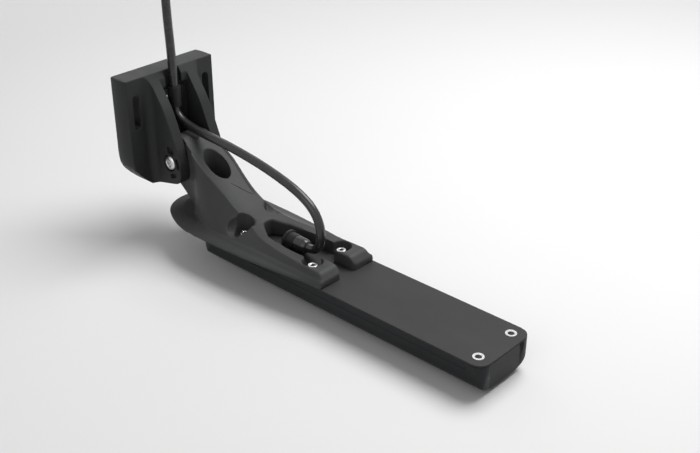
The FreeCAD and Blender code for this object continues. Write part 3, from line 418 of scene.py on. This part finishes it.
def evaluated(thing):
    """The plain mesh that a thing's modifiers or curve give."""
    bpy.context.view_layer.update()
    graph = bpy.context.evaluated_depsgraph_get()
    return bpy.data.meshes.new_from_object(thing.evaluated_get(graph), depsgraph=graph)


def merged_copy(node, name):
    """A new object with a CAD node's form, its doubled corners merged."""
    source = frame["nodes"][node].data
    mesh = bpy.data.meshes.new(name)
    mesh.from_pydata([v.co for v in source.vertices], [], [list(p.vertices) for p in source.polygons])
    work = bmesh.new()
    work.from_mesh(mesh)
    bmesh.ops.remove_doubles(work, verts=work.verts, dist=0.002 * MM)
    bmesh.ops.recalc_face_normals(work, faces=work.faces)
    work.to_mesh(mesh)
    work.free()
    return link(name, mesh)


def plain(thing):
    """Turns a thing with modifiers into its finished mesh under the same name."""
    name = thing.name
    mesh = evaluated(thing)
    bpy.data.objects.remove(thing)
    mesh.name = name
    return link(name, mesh)


def softened(node, name, voxel, passes, triangles, rounder=None, shape=None, grooves=()):
    """A CAD form with moulded round edges: remeshed evenly, smoothed, reshaped, thinned and grooved.

    rounder tells which places get many more smoothing passes, and shape moves a place. Both take millimetres.
    """
    thing = merged_copy(node, name)
    remesh = thing.modifiers.new("even", "REMESH")
    remesh.mode = "VOXEL"
    remesh.voxel_size = voxel
    remesh.use_smooth_shade = True
    smoothing(thing, "round", passes)
    thing = plain(thing)
    if rounder:
        group = thing.vertex_groups.new(name="rounder")
        group.add([v.index for v in thing.data.vertices if rounder(*(v.co / MM))], 1.0, "REPLACE")
        smoothing(thing, "rounder", SOFT_PASSES, group.name)
        thing = plain(thing)
    if shape:
        for vertex in thing.data.vertices:
            vertex.co = Vector(shape(*(vertex.co / MM))) * MM
    count = sum(len(face.vertices) - 2 for face in thing.data.polygons)
    thin = thing.modifiers.new("thin", "DECIMATE")
    thin.ratio = min(1.0, triangles / count)
    for groove in grooves:
        carve = thing.modifiers.new("groove", "BOOLEAN")
        carve.object = groove
        carve.solver = "EXACT"
    thing = plain(thing)
    if grooves:
        thing.data.set_sharp_from_angle(angle=math.radians(GROOVE_ANGLE))
    for groove in grooves:
        bpy.data.objects.remove(groove)
    return thing


def corner_pull(along, inward, deep):
    """How far a corner's round goes in, from the distance along the outline and the depth under it."""
    if abs(along) >= CORNER_REACH or inward > CORNER_FADE:
        return 0.0
    return deep * (1 - abs(along) / CORNER_REACH) ** 2 * (1 - max(0.0, inward) / CORNER_FADE)


def bracket_form(x, y, z):
    """Bracket's sides swell a little, meet its face in a tight edge, and turn round at the lower corners."""
    side = abs(y)
    u = x - EDGE_CENTRE[0]
    v = side - EDGE_CENTRE[1]
    if u > 0 and v > 0 and x < EDGE_CENTRE[0] + EDGE_ROOM:
        square = math.hypot(u, v) / max(u, v)
        x = EDGE_CENTRE[0] + u * square
        side = EDGE_CENTRE[1] + v * square
    swell = min(1.0, max(0.0, (side - SWELL_START) / SWELL_RUN))
    side += SIDE_SWELL * swell * max(0.0, 1 - ((x - PLATE_MIDDLE) / PLATE_MIDDLE) ** 2)
    for corner_y, corner_z, lean, deep in LOWER_CORNERS:
        out_y = math.cos(math.radians(lean))
        out_z = -math.sin(math.radians(lean))
        off_y = side - corner_y
        off_z = z - corner_z
        along = off_y * -out_z + off_z * out_y
        pull = corner_pull(along, -(off_y * out_y + off_z * out_z), deep)
        side -= pull * out_y
        z -= pull * out_z
    return x, math.copysign(side, y), z


def arm_soft(x, y, z):
    """Prong tips, the cable slot's front end, and the thin run-out of the skirt and its pad."""
    tip = x > PRONG_START and z > ARM_FOOT
    slot_front = SLOT_FRONT[0] < x < SLOT_FRONT[1] and abs(y) < SLOT_HALF_WIDTH
    skirt = z < SKIRT_TOP and abs(y) > SKIRT_SIDE and x > SKIRT_START
    return tip or slot_front or skirt


def hull_soft(x, y, z):
    """Lower corners at the tail."""
    return x > TAIL_SOFT_START and z < TAIL_SOFT_TOP


def hull_form(x, y, z):
    """Hull set back a little along the seam under the cover."""
    inward = SEAM_DEPTH * max(0.0, 1 - (SEAM - z) / SEAM_RUN)
    half = HULL_HALF_WIDTH - inward
    return min(x, TAIL - inward), max(-half, min(half, y)), z


def on_tail_panel(x, y, z):
    """Floor of the recess in the tail, which is painted near black as painted shade."""
    return abs(x - TAIL + TAIL_PANEL_INSET) < TAIL_PANEL_ROOM and abs(y) < TAIL_PANEL_HALF_WIDTH


def cover_form(x, y, z):
    """Cable boss kept short, behind the gland's flange."""
    if z > COVER_TOP + BOSS_START and x < GLAND[0]:
        x = GLAND[0] - (GLAND[0] - x) * BOSS_SHARE
    return x, y, z


def ring(reach, height, sides=0, limit=math.inf):
    """Ring of points about Z; with sides it is a polygon, reach its inner radius, cut round at a limit."""
    points = []
    for i in range(ROUND):
        turn = 2 * math.pi * i / ROUND
        out = reach
        if sides:
            wedge = math.pi / sides
            out = min(limit, reach / math.cos((turn + wedge) % (2 * wedge) - wedge))
        points.append((out * math.cos(turn) * MM, out * math.sin(turn) * MM, height * MM))
    return points


def quarter(start, low, end, high, steps=5):
    """Round shoulder: leaves (start, low) along the axis and reaches (end, high) square to it."""
    turns = [math.pi / 2 * i / steps for i in range(steps + 1)]
    return [(end + (start - end) * math.cos(t), low + (high - low) * math.sin(t)) for t in turns]


def thread(crest, root, low, high, pitch):
    """Crests and roots of a screw thread from one height to another."""
    rows = []
    for i in range(int(abs(high - low) / pitch)):
        height = low + math.copysign(i * pitch, high - low)
        rows += [(crest, height), (root, height + math.copysign(pitch / 2, high - low))]
    return rows


def lathe(name, profile, place=None, close=(True, True)):
    """Turned mesh from rows of reach, height and, for polygons, sides and limit."""
    work = bmesh.new()
    rows = [[work.verts.new(point) for point in ring(*row)] for row in profile]
    for low, high in zip(rows, rows[1:]):
        for i in range(ROUND):
            j = (i + 1) % ROUND
            work.faces.new((low[i], low[j], high[j], high[i]))
    if close[0]:
        work.faces.new(reversed(rows[0]))
    if close[1]:
        work.faces.new(rows[-1])
    bmesh.ops.remove_doubles(work, verts=work.verts, dist=0.001 * MM)
    bmesh.ops.recalc_face_normals(work, faces=work.faces)
    shade_by_angle(work, LATHE_ANGLE)
    if place:
        work.transform(place)
    mesh = bpy.data.meshes.new(name)
    work.to_mesh(mesh)
    work.free()
    return mesh


def shade_by_angle(work, angle):
    """Smooth faces, with the edges that turn by more than an angle in degrees left sharp."""
    for face in work.faces:
        face.smooth = True
    for edge in work.edges:
        edge.smooth = len(edge.link_faces) == 2 and edge.calc_face_angle(0.0) < math.radians(angle)


def bar(name, size, bevel):
    """Small bar centred on its own axes, its edges bevelled."""
    work = bmesh.new()
    bmesh.ops.create_cube(work, size=1.0, matrix=Matrix.Diagonal((*(side * MM for side in size), 1.0)))
    bmesh.ops.bevel(work, geom=work.edges, offset=bevel * MM, segments=2, affect="EDGES")
    shade_by_angle(work, LOOSE_ANGLE)
    mesh = bpy.data.meshes.new(name)
    work.to_mesh(mesh)
    work.free()
    return mesh


def upright_at(x, y, z):
    return Matrix.Translation(Vector((x, y, z)) * MM)


def along_y(x, y, z, side=1):
    return upright_at(x, y, z) @ Matrix.Rotation(math.radians(-90 * side), 4, "X")


def along_x(x, y, z):
    return upright_at(x, y, z) @ Matrix.Rotation(math.radians(90), 4, "Y")


def route_curve(name, route, radius, sides):
    """NURBS curve through a cable's route, with or without its thickness."""
    curve = bpy.data.curves.new(name, "CURVE")
    curve.dimensions = "3D"
    curve.resolution_u = 12
    curve.bevel_depth = radius * MM
    curve.bevel_resolution = sides // 2 - 2
    curve.use_fill_caps = True
    spline = curve.splines.new("NURBS")
    spline.points.add(len(route) - 1)
    for point, (x, y, z) in zip(spline.points, route):
        point.co = (x * MM, y * MM, z * MM, 1.0)
    spline.order_u = 3
    spline.use_endpoint_u = True
    return link(name, curve)


def cable_tube(name, route, sides):
    """The cable's tube as a mesh, with the points of its own centre line."""
    line = route_curve(name + "_line", route, 0.0, sides)
    centre = evaluated(line)
    path = [tuple(v.co) for v in centre.vertices]
    bpy.data.objects.remove(line)
    bpy.data.meshes.remove(centre)
    thick = route_curve(name + "_thick", route, CABLE_DIAMETER / 2, sides)
    mesh = evaluated(thick)
    bpy.data.objects.remove(thick)
    work = bmesh.new()
    work.from_mesh(mesh)
    bmesh.ops.remove_doubles(work, verts=work.verts, dist=0.001 * MM)
    bmesh.ops.recalc_face_normals(work, faces=work.faces)
    shade_by_angle(work, LOOSE_ANGLE)
    work.to_mesh(mesh)
    work.free()
    mesh.name = name
    return link(name, mesh), path


class Repeat:
    """Geometry Nodes tree that copies one mesh to the points that it is given, made plain at the end."""

    def __init__(self, name, slot, pattern):
        self.name = name
        self.tree = bpy.data.node_groups.new(name + "_repeat", "GeometryNodeTree")
        self.values = {}
        face = self.tree.interface
        face.new_socket("Geometry", in_out="INPUT", socket_type="NodeSocketGeometry")
        face.new_socket("Geometry", in_out="OUTPUT", socket_type="NodeSocketGeometry")
        self.pattern = link(name + "_one", pattern)
        self.slot = slot
        self.start = self.add("NodeGroupInput")

    def add(self, kind, **sockets):
        node = self.tree.nodes.new(kind)
        for name, value in sockets.items():
            socket = node.inputs[name]
            if isinstance(value, bpy.types.NodeSocket):
                self.tree.links.new(value, socket)
            else:
                socket.default_value = value
        return node

    def input(self, name, kind, value):
        """Named input of the tree with its value, as a socket to link from."""
        socket = self.tree.interface.new_socket(name, in_out="INPUT", socket_type="NodeSocket" + kind)
        self.values[socket.identifier] = value
        return self.start.outputs[name]

    def at(self, places):
        """Copies at a list of places."""
        seeds = bpy.data.meshes.new(self.name + "_seeds")
        seeds.from_pydata([Vector(place) * MM for place in places], [], [])
        points = self.add("GeometryNodeMeshToPoints", Mesh=self.start.outputs["Geometry"])
        return self.finish(seeds, points.outputs["Points"], (0.0, 0.0, 0.0))

    def around(self, count, radius, centre):
        """Copies evenly round an upright axis, each turned to face out."""
        number = self.input("Count", "Int", count)
        reach = self.input("Radius", "Float", radius * MM)
        circle = self.add("GeometryNodeMeshCircle", Vertices=number, Radius=reach)
        index = self.add("GeometryNodeInputIndex")
        share = self.add("ShaderNodeMath")
        share.operation = "DIVIDE"
        self.tree.links.new(index.outputs[0], share.inputs[0])
        self.tree.links.new(number, share.inputs[1])
        turn = self.add("ShaderNodeMath")
        turn.operation = "MULTIPLY"
        self.tree.links.new(share.outputs[0], turn.inputs[0])
        turn.inputs[1].default_value = 2 * math.pi
        spin = self.add("ShaderNodeCombineXYZ", Z=turn.outputs[0])
        move = self.add("GeometryNodeTransform", Geometry=circle.outputs["Mesh"])
        move.inputs["Translation"].default_value = Vector(centre) * MM
        empty = bpy.data.meshes.new(self.name + "_seeds")
        return self.finish(empty, move.outputs["Geometry"], spin.outputs[0])

    def finish(self, seeds, points, rotation):
        info = self.add("GeometryNodeObjectInfo", Object=self.input("Pattern", "Object", self.pattern))
        spread = self.add("GeometryNodeInstanceOnPoints", Points=points, Instance=info.outputs["Geometry"],
                          Rotation=rotation)
        real = self.add("GeometryNodeRealizeInstances", Geometry=spread.outputs["Instances"])
        paint = self.add("GeometryNodeSetMaterial", Geometry=real.outputs["Geometry"],
                         Material=finish_of(self.slot))
        end = self.tree.nodes.new("NodeGroupOutput")
        self.tree.links.new(paint.outputs["Geometry"], end.inputs["Geometry"])
        holder = link(self.name, seeds)
        modifier = holder.modifiers.new("repeat", "NODES")
        modifier.node_group = self.tree
        for identifier, value in self.values.items():
            modifier[identifier] = value
        made = plain(holder)
        bpy.data.objects.remove(self.pattern)
        return made


def joined(name, things):
    """Several things made one mesh."""
    work = bmesh.new()
    for thing in things:
        work.from_mesh(thing.data)
        bpy.data.objects.remove(thing)
    mesh = bpy.data.meshes.new(name)
    work.to_mesh(mesh)
    work.free()
    return link(name, mesh)


class CableSettings(bpy.types.PropertyGroup):
    sides: IntProperty(name="Sides", description="Sides of the cable's tube", default=28, min=8)


class MouldingSettings(bpy.types.PropertyGroup):
    voxel: FloatProperty(
        name="Voxel", description="Fineness of the softened mouldings", default=0.45 * MM, unit="LENGTH")
    rounding: IntProperty(name="Rounding", description="Smoothing passes on the arm", default=3, min=0)


class StageSettings(bpy.types.PropertyGroup):
    floor: FloatVectorProperty(
        name="Floor", description="Colour of the floor", default=(0.82, 0.82, 0.82), subtype="COLOR")
    backdrop: FloatProperty(name="Backdrop", description="Brightness of the pale background", default=0.92)
    fill: FloatProperty(name="Fill", description="Light from the surroundings on the object", default=0.26)


class TRANSDUCER_OT_stage(bpy.types.Operator):
    """Camera, floor, world and soft studio lights"""

    bl_idname = "transducer.stage"
    bl_label = "Stage"

    def execute(self, context):
        settings = context.scene.transducer_stage
        scene = context.scene
        camera = bpy.data.objects.new("camera", bpy.data.cameras.new("camera"))
        scene.collection.objects.link(camera)
        azimuth = math.radians(CAMERA_AZIMUTH)
        elevation = math.radians(CAMERA_ELEVATION)
        back = Vector((math.sin(azimuth) * math.cos(elevation), -math.cos(azimuth) * math.cos(elevation),
                       math.sin(elevation)))
        camera.location = Vector(CAMERA_PLACE) * MM
        camera.rotation_euler = (-back).to_track_quat("-Z", "Y").to_euler()
        camera.data.sensor_width = 36.0
        camera.data.lens = CAMERA_LENS
        camera.data.clip_start = 0.01
        scene.camera = camera
        scene.view_settings.view_transform = "Standard"
        self.floor(settings)
        self.world(scene, settings)
        for lamp in LAMPS:
            self.lamp(*lamp)
        return {"FINISHED"}

    def floor(self, settings):
        """Pale floor just under the object, which turns into the backdrop further out."""
        low = CAD_BOX[0].z - 0.3 * MM
        corners = [(x * FLOOR_HALF, y * FLOOR_HALF, low) for x, y in ((-1, -1), (1, -1), (1, 1), (-1, 1))]
        mesh = bpy.data.meshes.new("floor")
        mesh.from_pydata(corners, [], [(0, 1, 2, 3)])
        floor = link("floor", mesh)
        finish = Finish("floor_finish", tuple(settings.floor), 0.7, Specular_IOR_Level=0.2)
        mottle = finish.noise(0.4, 2.0)
        finish.tint(mottle, shade(settings.floor, 0.985), shade(settings.floor, 1.015))
        away = finish.node("ShaderNodeVectorMath", {"operation": "LENGTH"}, finish.place, out="Value")
        far = finish.ramp(away, FLOOR_NEAR, FLOOR_FAR) * Wire(finish, pale_rays(finish.tree))
        glow = finish.node("ShaderNodeEmission", {}, Strength=settings.backdrop)
        mix = finish.node("ShaderNodeMixShader", {}, far, Wire(finish, finish.shader.outputs[0]), glow)
        finish.plug(finish.output.inputs[0], mix)
        floor.data.materials.append(finish.material)

    def world(self, scene, settings):
        """Pale to the camera, in metal and through glass; softer as a light on the object."""
        scene.world = bpy.data.worlds.new("studio")
        scene.world.use_nodes = True
        tree = scene.world.node_tree
        level = tree.nodes.new("ShaderNodeMapRange")
        level.inputs["To Min"].default_value = settings.fill
        level.inputs["To Max"].default_value = settings.backdrop
        tree.links.new(pale_rays(tree), level.inputs["Value"])
        light = tree.nodes["Background"]
        light.inputs["Color"].default_value = (1.0, 1.0, 1.0, 1.0)
        tree.links.new(level.outputs["Result"], light.inputs["Strength"])

    def lamp(self, name, place, target, power):
        data = bpy.data.lights.new(name, "AREA")
        data.shape = "DISK"
        data.size = LAMP_SIZE
        data.energy = power
        lamp = bpy.data.objects.new(name, data)
        bpy.context.scene.collection.objects.link(lamp)
        lamp.location = place
        lamp.rotation_euler = (Vector(target) - Vector(place)).to_track_quat("-Z", "Y").to_euler()


class TRANSDUCER_OT_cable(bpy.types.Operator):
    """Cable from the gland over the arm to the clip, and up to its connector"""

    bl_idname = "transducer.cable"
    bl_label = "Cable"

    def execute(self, context):
        sides = context.scene.transducer_cable.sides
        arch, path = cable_tube("cable_arch", LOOP_ROUTE, sides)
        settle(arch, "cable_rubber", None, "cable_loop")
        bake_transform(arch)
        rise, path = cable_tube("cable_rise", LEAD_ROUTE, sides)
        settle(rise, "cable_rubber", "bracket", "cable_lead")
        return {"FINISHED"}


class TRANSDUCER_OT_connector(bpy.types.Operator):
    """Connector at the cable's end: ribbed boot, shell, contact pins and grip collar"""

    bl_idname = "transducer.connector"
    bl_label = "Connector"

    def execute(self, context):
        boot = [(3.4, 0.0), (3.9, 0.1), (3.9, 1.2)]
        for i in range(5):
            low = 1.6 + 2.7 * i
            reach = 3.9 + 0.12 * low
            boot += [(reach - 0.9, low), (reach - 0.9, low + 0.9)]
            boot += [(reach, low + 1.1), (reach + 0.1, low + 2.4)]
        boot += [(5.8, 16.0), (6.3, 18.6), (6.4, 20.0)]
        mesh = lathe("boot_of_connector", boot, upright_at(*CONNECTOR, BOOT_BOTTOM))
        settle(link("boot_of_connector", mesh), "connector_plastic", "bracket", "connector_boot")
        shell = [(6.9, 0.0)] + quarter(7.0, 0.0, 8.0, 1.0, 1) + [(8.0, 3.0)]
        for i in range(3):
            low = 3.2 + 2.4 * i
            shell += [(7.55, low), (7.55, low + 1.0), (8.0, low + 1.2), (8.0, low + 2.2)]
        shell += [(8.0, 11.4), (7.7, 11.8), (6.0, 11.8), (6.0, 29.0), (5.6, 32.0), (4.6, 32.0), (4.6, 23.0)]
        mesh = lathe("shell_of_connector", shell, upright_at(*CONNECTOR, SHELL_BOTTOM))
        settle(link("shell_of_connector", mesh), "connector_plastic", "bracket", "connector_body")
        pin = lathe("pin_form", [(0.5, 0.0), (0.5, 6.0)] + quarter(0.5, 6.0, 0.1, 6.5, 3))
        pins = Repeat("contact_pins", "pin_gold", pin).around(PIN_COUNT, PIN_CIRCLE, (*CONNECTOR, PIN_BOTTOM))
        settle(pins, "pin_gold", "bracket", "connector_pins")
        tube = [(6.05, 0.0), (8.0, 0.0), (COLLAR_RADIUS, 0.5), (COLLAR_RADIUS, COLLAR_HEIGHT - 0.5)]
        tube += [(8.1, COLLAR_HEIGHT), (6.05, COLLAR_HEIGHT), (6.05, 0.0)]
        sleeve = link("sleeve", lathe("sleeve", tube, upright_at(*CONNECTOR, COLLAR_BOTTOM), (False, False)))
        rib = bar("rib_form", (0.9, 0.85, 13.0), 0.25)
        ribs = Repeat("ribs", "connector_plastic", rib).around(
            RIB_COUNT, COLLAR_RADIUS, (*CONNECTOR, COLLAR_BOTTOM + COLLAR_HEIGHT / 2))
        settle(joined("grip_collar", [sleeve, ribs]), "connector_plastic", "collar", "connector_collar")
        return {"FINISHED"}


class TRANSDUCER_OT_mouldings(bpy.types.Operator):
    """Bracket and arm with the round edges of their mouldings"""

    bl_idname = "transducer.mouldings"
    bl_label = "Bracket and arm"

    def execute(self, context):
        settings = context.scene.transducer_moulding
        slit = link("slit", bar("slit", SLIT_SIZE, 0.05))
        turned = Vector(SLIT_ALONG).to_track_quat("Y", "Z").to_matrix().to_4x4()
        slit.matrix_world = upright_at(*SLIT_PLACE) @ turned
        arm = softened("mounting_arm", "arm_moulding", settings.voxel, settings.rounding, ARM_TRIANGLES,
                       rounder=arm_soft, grooves=[slit])
        settle(arm, "arm_moulding", "sonar", "mounting_arm")
        bracket = softened("transom_bracket", "bracket_moulding", settings.voxel, BRACKET_PASSES,
                           BRACKET_TRIANGLES, shape=bracket_form)
        settle(bracket, "bracket_moulding", "bracket", "transom_bracket")
        return {"FINISHED"}


class TRANSDUCER_OT_body(bpy.types.Operator):
    """Transducer's hull and flat cover, and the cable's gland and boot on it"""

    bl_idname = "transducer.body"
    bl_label = "Hull, cover and gland"

    def execute(self, context):
        voxel = context.scene.transducer_moulding.voxel
        hull = softened("hull_shell", "hull_moulding", voxel, HULL_PASSES, SHELL_TRIANGLES,
                        rounder=hull_soft, shape=hull_form)
        settle(hull, "hull_moulding", "sonar", "hull_shell")
        # The tail's recess floor gets near-black plastic as painted shade.
        painted(hull, "panel_gloss", on_tail_panel)
        cover = softened("top_cover", "cover_moulding", voxel, COVER_PASSES, SHELL_TRIANGLES,
                         shape=cover_form)
        settle(cover, "cover_moulding", "sonar", "top_cover")
        gland = [(6.3, -4.6), (6.9, -4.5), (7.0, -4.2), (7.0, -2.9)] + quarter(7.0, -2.9, 6.6, -2.5, 4)
        gland += [(6.1, -2.5), (5.9, -2.3), (5.9, 4.2), (5.6, 4.5)]
        mesh = lathe("gland_nut", gland, along_x(*GLAND))
        settle(link("gland_nut", mesh), "gland_plastic", "sonar", "cable_gland")
        boot = [(5.3, 4.5), (5.6, 4.7), (5.6, 9.5)] + quarter(5.6, 9.5, 3.5, 15.0, 10)
        mesh = lathe("cable_dome", boot, along_x(*GLAND))
        settle(link("cable_dome", mesh), "cable_rubber", "sonar", "cable_boot")
        return {"FINISHED"}


class TRANSDUCER_OT_pivot(bpy.types.Operator):
    """Pivot bolt with its domed head, and its locking nut"""

    bl_idname = "transducer.pivot"
    bl_label = "Pivot bolt and nut"

    def execute(self, context):
        x, y, z = PIVOT
        bolt = [(3.3, -43.6)] + thread(3.95, 3.4, -43.0, -32.0, 1.25) + [(4.0, -31.5), (4.0, 0.0)]
        bolt += [(5.7, 0.0), (6.0, 0.3), (6.0, 1.0)] + quarter(6.0, 1.0, 3.3, 3.3, 8)
        bolt += [(2.95, 3.25), (2.5, 3.0, 6), (2.5, 0.6, 6)]
        mesh = lathe("domed_bolt", bolt, along_y(x, y - BOLT_SEAT, z, -1))
        settle(link("domed_bolt", mesh), "steel", "bracket", "pivot_bolt")
        nut = [(4.4, 0.0), (6.5, 0.0, 6, 6.55), (6.5, 0.55, 6), (6.5, 4.5, 6), (6.5, 5.1, 6, 6.55)]
        nut += [(5.7, 5.1), (5.7, 5.9)] + quarter(5.7, 5.9, 5.1, 6.5, 3)
        nut += [(4.3, 6.5), (4.1, 6.3), (4.1, 0.3), (4.4, 0.0)]
        mesh = lathe("locking_nut", nut, along_y(x, y + BOLT_SEAT, z), (False, False))
        settle(link("locking_nut", mesh), "steel", "bracket", "pivot_nut")
        return {"FINISHED"}


class TRANSDUCER_OT_fasteners(bpy.types.Operator):
    """Cap screws and washers on the arm, and the threaded inserts at the tail"""

    bl_idname = "transducer.fasteners"
    bl_label = "Screws, washers and inserts"

    def execute(self, context):
        screw = [(1.6, -10.8), (2.0, -10.4), (2.0, 0.0), (3.3, 0.0), (3.5, 0.2), (3.5, 3.4)]
        screw += quarter(3.5, 3.4, 3.0, 4.0, 4) + [(1.95, 4.0), (1.75, 3.85), (1.5, 3.7, 6), (1.5, 0.9, 6)]
        made = Repeat("cap_screws", "steel", lathe("screw_form", screw)).at(
            [(x, y, SCREW_SEAT) for x, y in SCREW_SPOTS])
        settle(made, "steel", "sonar", "mount_screws")
        # Faces inside the hex sockets get dark steel as painted shade.
        painted(made, "socket_steel", in_holes(SCREW_SPOTS, 1.8, SCREW_SEAT + 3.6))
        washer = [(2.2, 0.0), (4.6, 0.0), (4.8, 0.15), (4.8, 0.6)] + quarter(4.8, 0.6, 4.5, 0.8, 3)
        washer += [(2.3, 0.8), (2.2, 0.7), (2.2, 0.0)]
        made = Repeat("flat_washers", "steel", lathe("washer_form", washer, close=(False, False))).at(
            [(x, y, WASHER_SEAT) for x, y in SCREW_SPOTS])
        settle(made, "steel", "sonar", "mount_washers")
        insert = [(3.9, -12.0), (3.9, 0.05), (3.8, 0.15), (2.45, 0.15), (2.1, -0.2)]
        insert += thread(2.1, 2.45, -0.7, -9.5, 0.8) + [(2.1, -10.0)]
        made = Repeat("threaded_inserts", "steel", lathe("insert_form", insert)).at(
            [(x, y, COVER_TOP) for x, y in INSERT_SPOTS])
        settle(made, "steel", "sonar", "tail_inserts")
        # Faces inside the inserts' bores get dark steel as painted shade.
        painted(made, "socket_steel", in_holes(INSERT_SPOTS, 2.5, COVER_TOP - 0.1))
        return {"FINISHED"}


class TRANSDUCER_OT_nodes(bpy.types.Operator):
    """Finishes for the pieces whose CAD form is right as it is"""

    bl_idname = "transducer.nodes"
    bl_label = "Other pieces"

    def execute(self, context):
        slots = {row["node"]: row["material_slot"] for row in frame["record"]["subparts"]}
        for name, thing in frame["nodes"].items():
            if thing.hide_render:
                continue
            thing.data.materials.clear()
            thing.data.materials.append(finish_of(slots[name]))
        return {"FINISHED"}


class TRANSDUCER_PT_panel(bpy.types.Panel):
    """Lists the steps that build the transducer"""

    bl_idname = "TRANSDUCER_PT_panel"
    bl_label = "Transducer"
    bl_space_type = "VIEW_3D"
    bl_region_type = "UI"
    bl_category = "Transducer"

    def draw(self, context):
        for step in STEPS:
            self.layout.operator(step.bl_idname)


STEPS = (
    TRANSDUCER_OT_stage, TRANSDUCER_OT_connector, TRANSDUCER_OT_cable, TRANSDUCER_OT_mouldings,
    TRANSDUCER_OT_body, TRANSDUCER_OT_pivot, TRANSDUCER_OT_fasteners, TRANSDUCER_OT_nodes,
)
CLASSES = (CableSettings, MouldingSettings, StageSettings) + STEPS + (TRANSDUCER_PT_panel,)


def register():
    for kind in CLASSES:
        bpy.utils.register_class(kind)
    bpy.types.Scene.transducer_cable = PointerProperty(type=CableSettings)
    bpy.types.Scene.transducer_moulding = PointerProperty(type=MouldingSettings)
    bpy.types.Scene.transducer_stage = PointerProperty(type=StageSettings)


def unregister():
    del bpy.types.Scene.transducer_stage
    del bpy.types.Scene.transducer_moulding
    del bpy.types.Scene.transducer_cable
    for kind in reversed(CLASSES):
        bpy.utils.unregister_class(kind)


def main():
    register()
    for step in STEPS:
        category, action = step.bl_idname.split(".")
        getattr(getattr(bpy.ops, category), action)()
    bpy.context.view_layer.update()


if __name__ == "__main__":
    main()
